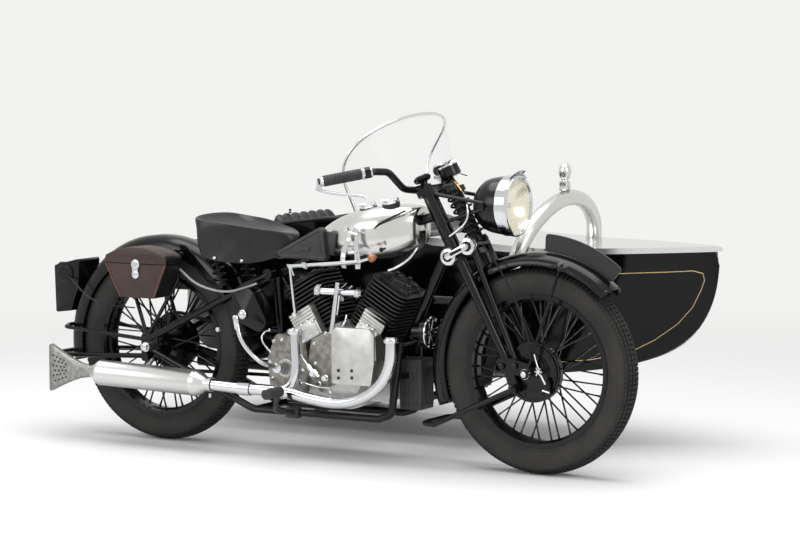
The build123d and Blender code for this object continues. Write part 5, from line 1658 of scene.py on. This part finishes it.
class SIDECAR_OT_engine_details(bpy.types.Operator):
    """Adds the engine's head ribs, bolts, tappet covers, unions, oil pipes and the horn's face"""

    bl_idname = "sidecar.engine_details"
    bl_label = "Engine details"

    def execute(self, context):
        black = bmesh.new()
        bright = bmesh.new()
        alloy = bmesh.new()
        for lean in (-CYLINDER_LEAN, CYLINDER_LEAN):
            axis = Vector((sin(radians(lean)), 0, cos(radians(lean))))
            for radius in (20, 33, 46):
                lathe(
                    black,
                    [
                        (0, radius - 2.6), (0, radius + 2.6), (4.5, radius + 1.6), (4.5, radius - 1.6),
                        (0, radius - 2.6),
                    ],
                    cylinder_at(lean, 0, 0, 358.5),
                    axis,
                    48,
                )
            for index in range(6):
                angle = radians(60 * index + 30)
                spot = cylinder_at(lean, 46 * cos(angle), 52 * sin(angle), 358.5)
                lathe(black, [(0, 11), (6, 10), (8, 7)], spot, axis, 20)
                bolt(black, spot + axis * 6, axis, 13, 7)
            for across in (-62, -36, 36, 62):
                waves = [
                    cylinder_at(lean, forward, across + 7 * sin(forward / 9.5), 359)
                    for forward in range(-66, 67, 6)
                ]
                tube(black, waves, 3.6, bevel=3, resolution=4)
            toward = -1 if lean < 0 else 1
            tilt = Matrix.Rotation(radians(lean), 4, "Y")
            block(
                alloy, (76, 5, 56),
                Matrix.Translation(at(*cylinder_at(lean, toward * 28, -127.5, 178))) @ tilt, 0, 2,
            )
            for forward, up in ((-4, 200), (-4, 156), (60, 200), (60, 156), (28, 156)):
                bolt(bright, cylinder_at(lean, toward * forward, -129.5, up), (0, -1, 0), 7.5, 4)
            for forward in (16, 42):
                lathe(
                    bright, [(0, 7), (3, 6.5), (6, 4), (7, 0)],
                    cylinder_at(lean, toward * forward, -125.5, 208), (0, -1, 0), 20,
                )
        for x, z in ((810, 316), (862, 318), (810, 290), (863, 294)):
            lathe(black, [(0, 0), (0, 6), (2.5, 5.5), (3.5, 3), (3.5, 0)], (x, -149.5, z), (0, -1, 0), 16)
        for x, z in (
            (512, 392), (545, 398), (600, 390), (628, 350), (632, 300), (622, 250), (590, 222), (530, 222),
            (506, 262), (498, 320),
        ):
            bolt(bright, (x, -87.5, z), (0, -1, 0), 9, 4)
        lathe(alloy, [(0, 34), (3, 34), (6, 30), (6, 22), (0, 22), (0, 34)], (560, -87, 300), (0, -1, 0), 40)
        for x, z in ((700, 330), (706, 250), (760, 236), (740, 436), (694, 398)):
            bolt(bright, (x, -117.5, z), (0, -1, 0), 8, 4)
        finish_piece("engine_black_details", black, "black_iron", "chassis", smooth=35)
        finish_piece("engine_covers", alloy, "cast_aluminium", "chassis", smooth=35)

        for start, end in (((648, -126, 352), (700, -136, 300)), ((662, -126, 336), (728, -140, 286))):
            run = Vector(end) - Vector(start)
            tube(bright, [Vector(start) - Vector((26, -6, -22)), start, Vector(start) + run * 0.5, end], 4.2)
            middle = Vector(start) + run * 0.72
            bmesh.ops.create_cone(
                bright, cap_ends=True, segments=6, radius1=0.0085, radius2=0.0085, depth=0.018,
                matrix=place(middle, run),
            )
            rod(bright, middle + run.normalized() * 8, end, 7)
        tube(bright, [(640, -126, 268), (680, -130, 256), (730, -134, 250), (772, -138, 252)], 3.6)
        tube(bright, [(820, -112, 500), (826, -126, 486), (818, -134, 468), (808, -130, 452)], 4.2)
        for x in (703, 861):
            for index in range(2):
                bmesh.ops.create_cone(
                    bright, cap_ends=True, segments=6, radius1=0.0225, radius2=0.0225, depth=0.007,
                    matrix=place((x - 5 + 10 * index, -98, 576), (1, 0, 0)),
                )
        lathe(
            bright, [(-8, 20), (-8, 24), (-3, 26), (4, 26), (7, 24), (7, 20), (-8, 20)],
            (1014, -148, 428), (-0.1, 0.1, 1), 40,
        )
        lathe(
            bright, [(-9, 16), (-9, 24), (-3, 26), (3, 26), (9, 24), (9, 16), (-9, 16)], (629, -141, 438),
            (0.05, 0, 1), 40,
        )
        lathe(
            bright, [(0, 52), (2, 55), (6, 55), (9, 50), (9, 44), (6, 42), (0, 52)], (1094, -20, 448),
            (1, 0, 0), 48,
        )
        lathe(bright, [(2, 0), (2, 12), (6, 11), (8, 6), (9, 0)], (1096, -20, 448), (1, 0, 0), 32)
        for index in range(18):
            angle = 2 * pi * index / 18
            rod(
                bright, (1096, -20 + 14 * cos(angle), 448 + 14 * sin(angle)),
                (1099, -20 + 43 * cos(angle), 448 + 43 * sin(angle)), 1.6, segments=8,
            )
        for index in range(6):
            angle = 2 * pi * index / 6
            bolt(bright, (1101, -20 + 50 * cos(angle), 448 + 50 * sin(angle)), (1, 0, 0), 7, 3)
        lathe(
            bright, [(0, 0), (0, 17), (4, 17.5), (9, 14), (12, 6), (12.5, 0)], (410, -130, 483), (0, -1, 0),
            32,
        )
        lathe(bright, [(0, 0), (0, 8), (5, 10), (10, 7), (12, 0)], (289, -96, 421), (0, -1, 0), 24)
        tube(
            bright, [(498, -98, 430), (488, -120, 424), (486, -128, 400), (508, -128, 372), (520, -118, 356)],
            3.6,
        )
        lathe(bright, [(0, 0), (2, 6), (8, 7.5), (13, 4), (14, 0)], (500, -98, 424), (0, 0, 1), 20)
        for x, z, across in ((748, 284, 17), (700, 296, 17), (722, 262, 13)):
            bolt(bright, (x, -132, z), (0, -1, 0), across, 12)
        cable = bmesh.new()
        tube(
            cable,
            [
                (96, -104, 652), (149, -106, 614), (190, -107, 584), (238, -107, 566), (310, -106, 554),
                (381, -105, 563), (450, -100, 590),
            ],
            4.2,
        )
        finish_piece("control_cable", cable, "sheath", "chassis", smooth=60)
        finish_piece("engine_bright_details", bright, "chrome", "chassis", smooth=35)

        ribs = bmesh.new()
        for face_x in (987.5, 1072.5):
            for index in range(7):
                block(ribs, (3, 8, 128), Matrix.Translation(at(face_x, -36 + 12 * index, 262)), 0, 1)
        for index in range(7):
            block(ribs, (7, 3, 128), Matrix.Translation(at(1000 + 10 * index, -46.5, 262)), 0, 1)
        for x in (1006, 1050):
            lathe(ribs, [(0, 0), (0, 9), (6, 9), (8, 6), (8, 0)], (x, -20, 356), (0, 0, 1), 20)
        finish_piece("battery_case_ribs", ribs, "black_rubber", "chassis", smooth=35)
        return {"FINISHED"}


# ---- Materials of the frame, and the stage ----
class SIDECAR_OT_node_finishes(bpy.types.Operator):
    """Gives every node of the frame the material of its slot"""

    bl_idname = "sidecar.node_finishes"
    bl_label = "Node finishes"

    def execute(self, context):
        slots = {part["node"]: part["material_slot"] for part in frame["record"]["subparts"]}
        for name, piece in NODES.items():
            piece.data.materials.clear()
            piece.data.materials.append(FINISHES[slots[name]])
        return {"FINISHED"}


# The backdrop's colour and the sky's; the camera's place, its focal length in pixels, its dip and turn
PALE, SKY = "#f2f2f0", (0.95, 0.97, 1.0, 1.0)
CAMERA_SPOT, FOCAL_PIXELS, PICTURE_WIDTH, SENSOR = (5135.1, -7337.4, 1428.3), 2496.9, 800, 36.0
CAMERA_DIP, CAMERA_TURN = 5.171, 29.614


class SIDECAR_OT_stage(bpy.types.Operator):
    """Sets the pale floor, the soft lights and the camera"""

    bl_idname = "sidecar.stage"
    bl_label = "Stage"

    def execute(self, context):
        settings = context.scene.sidecar_stage
        scene = context.scene
        floor_finish, shader = new_finish("studio_floor", PALE, roughness=0.6)
        shader.inputs["Base Color"].default_value = (*settings.floor_colour, 1.0)
        tree = floor_finish.node_tree
        middle = add_node(floor_finish, "ShaderNodeTexCoord")
        reach = add_node(
            floor_finish, "ShaderNodeVectorMath", [(0, middle.outputs["Object"])], operation="LENGTH"
        )
        fade = add_node(
            floor_finish, "ShaderNodeMapRange",
            [("Value", reach.outputs["Value"]), ("From Min", 1.6), ("From Max", 5.0)],
            interpolation_type="SMOOTHSTEP",
        )
        far = add_node(floor_finish, "ShaderNodeEmission", [("Color", linear(PALE))])
        blend = add_node(
            floor_finish, "ShaderNodeMixShader",
            [(0, fade.outputs["Result"]), (1, shader.outputs[0]), (2, far.outputs[0])],
        )
        tree.links.new(blend.outputs[0], tree.nodes["Material Output"].inputs["Surface"])
        mesh = bmesh.new()
        bmesh.ops.create_grid(mesh, x_segments=1, y_segments=1, size=60.0)
        data = bpy.data.meshes.new("floor")
        mesh.to_mesh(data)
        mesh.free()
        data.materials.append(floor_finish)
        floor = bpy.data.objects.new("floor", data)
        scene.collection.objects.link(floor)

        world = bpy.data.worlds.new("studio")
        scene.world = world
        world.use_nodes = True
        world.node_tree.nodes.clear()
        paths = add_node(world, "ShaderNodeLightPath")
        seen = add_node(
            world,
            "ShaderNodeMath",
            [(0, paths.outputs["Is Camera Ray"]), (1, paths.outputs["Is Transmission Ray"])],
            operation="MAXIMUM",
        )
        mirrored = add_node(
            world, "ShaderNodeMath", [(0, seen.outputs[0]), (1, paths.outputs["Is Glossy Ray"])],
            operation="MAXIMUM",
        )
        soft = add_node(world, "ShaderNodeBackground", [("Color", SKY), ("Strength", settings.sky_strength)])
        bright = add_node(world, "ShaderNodeBackground", [("Color", linear(PALE))])
        mix = add_node(
            world, "ShaderNodeMixShader",
            [(0, mirrored.outputs[0]), (1, soft.outputs[0]), (2, bright.outputs[0])],
        )
        add_node(world, "ShaderNodeOutputWorld", [("Surface", mix.outputs[0])])

        for name, origin, target, size, power in (
            ("overhead", (700, 0, 4200), (700, 300, 300), (4.5, 3.0), 150.0),
            ("near_side", (-1200, -4200, 2400), (600, 0, 500), (3.0, 2.0), 60.0),
            ("far_front", (5200, -1500, 2600), (900, 300, 500), (2.0, 2.0), 50.0),
        ):
            lamp = bpy.data.lights.new(name, "AREA")
            lamp.shape, lamp.size, lamp.size_y, lamp.energy = "RECTANGLE", size[0], size[1], power
            holder = bpy.data.objects.new(name, lamp)
            holder.matrix_world = place(origin, Vector(origin) - Vector(target))
            scene.collection.objects.link(holder)

        camera_data = bpy.data.cameras.new("camera")
        camera_data.sensor_width, camera_data.sensor_fit = SENSOR, "HORIZONTAL"
        camera_data.lens = FOCAL_PIXELS / PICTURE_WIDTH * SENSOR
        camera_data.clip_end = 200.0
        camera = bpy.data.objects.new("camera", camera_data)
        camera.location = at(*CAMERA_SPOT)
        camera.rotation_euler = (radians(90 - CAMERA_DIP), 0.0, radians(CAMERA_TURN))
        scene.collection.objects.link(camera)
        scene.camera = camera
        scene.view_settings.view_transform = "Standard"
        return {"FINISHED"}


class SIDECAR_PT_panel(bpy.types.Panel):
    """Lists the outfit's operators and settings in the 3D view's sidebar"""

    bl_idname = "SIDECAR_PT_panel"
    bl_label = "Sidecar Motorcycle"
    bl_space_type = "VIEW_3D"
    bl_region_type = "UI"
    bl_category = "Sidecar"

    def draw(self, context):
        for operator in OPERATORS:
            self.layout.operator(operator.bl_idname)
        for name in SETTINGS:
            group = getattr(context.scene, name)
            for key in group.__annotations__:
                self.layout.prop(group, key)


OPERATORS = (
    SIDECAR_OT_node_finishes,
    SIDECAR_OT_stage,
    SIDECAR_OT_tyres,
    SIDECAR_OT_coachwork,
    SIDECAR_OT_windscreen,
    SIDECAR_OT_shells,
    SIDECAR_OT_exhaust,
    SIDECAR_OT_silencer,
    SIDECAR_OT_saddle,
    SIDECAR_OT_sidecar_seat,
    SIDECAR_OT_panniers,
    SIDECAR_OT_headlamp,
    SIDECAR_OT_controls,
    SIDECAR_OT_fork_details,
    SIDECAR_OT_tank_fittings,
    SIDECAR_OT_gear_change,
    SIDECAR_OT_engine_details,
)
SETTINGS = {
    "sidecar_tyres": TyreSettings,
    "sidecar_coachwork": CoachworkSettings,
    "sidecar_seats": SeatSettings,
    "sidecar_stage": StageSettings,
}


def register():
    for group in SETTINGS.values():
        bpy.utils.register_class(group)
    for operator in OPERATORS:
        bpy.utils.register_class(operator)
    bpy.utils.register_class(SIDECAR_PT_panel)
    for name, group in SETTINGS.items():
        setattr(bpy.types.Scene, name, PointerProperty(type=group))


def unregister():
    for name in SETTINGS:
        delattr(bpy.types.Scene, name)
    bpy.utils.unregister_class(SIDECAR_PT_panel)
    for operator in reversed(OPERATORS):
        bpy.utils.unregister_class(operator)
    for group in SETTINGS.values():
        bpy.utils.unregister_class(group)


def main():
    register()
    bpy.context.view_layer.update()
    for operator in OPERATORS:
        category, name = operator.bl_idname.split(".")
        getattr(getattr(bpy.ops, category), name)()


if __name__ == "__main__":
    main()
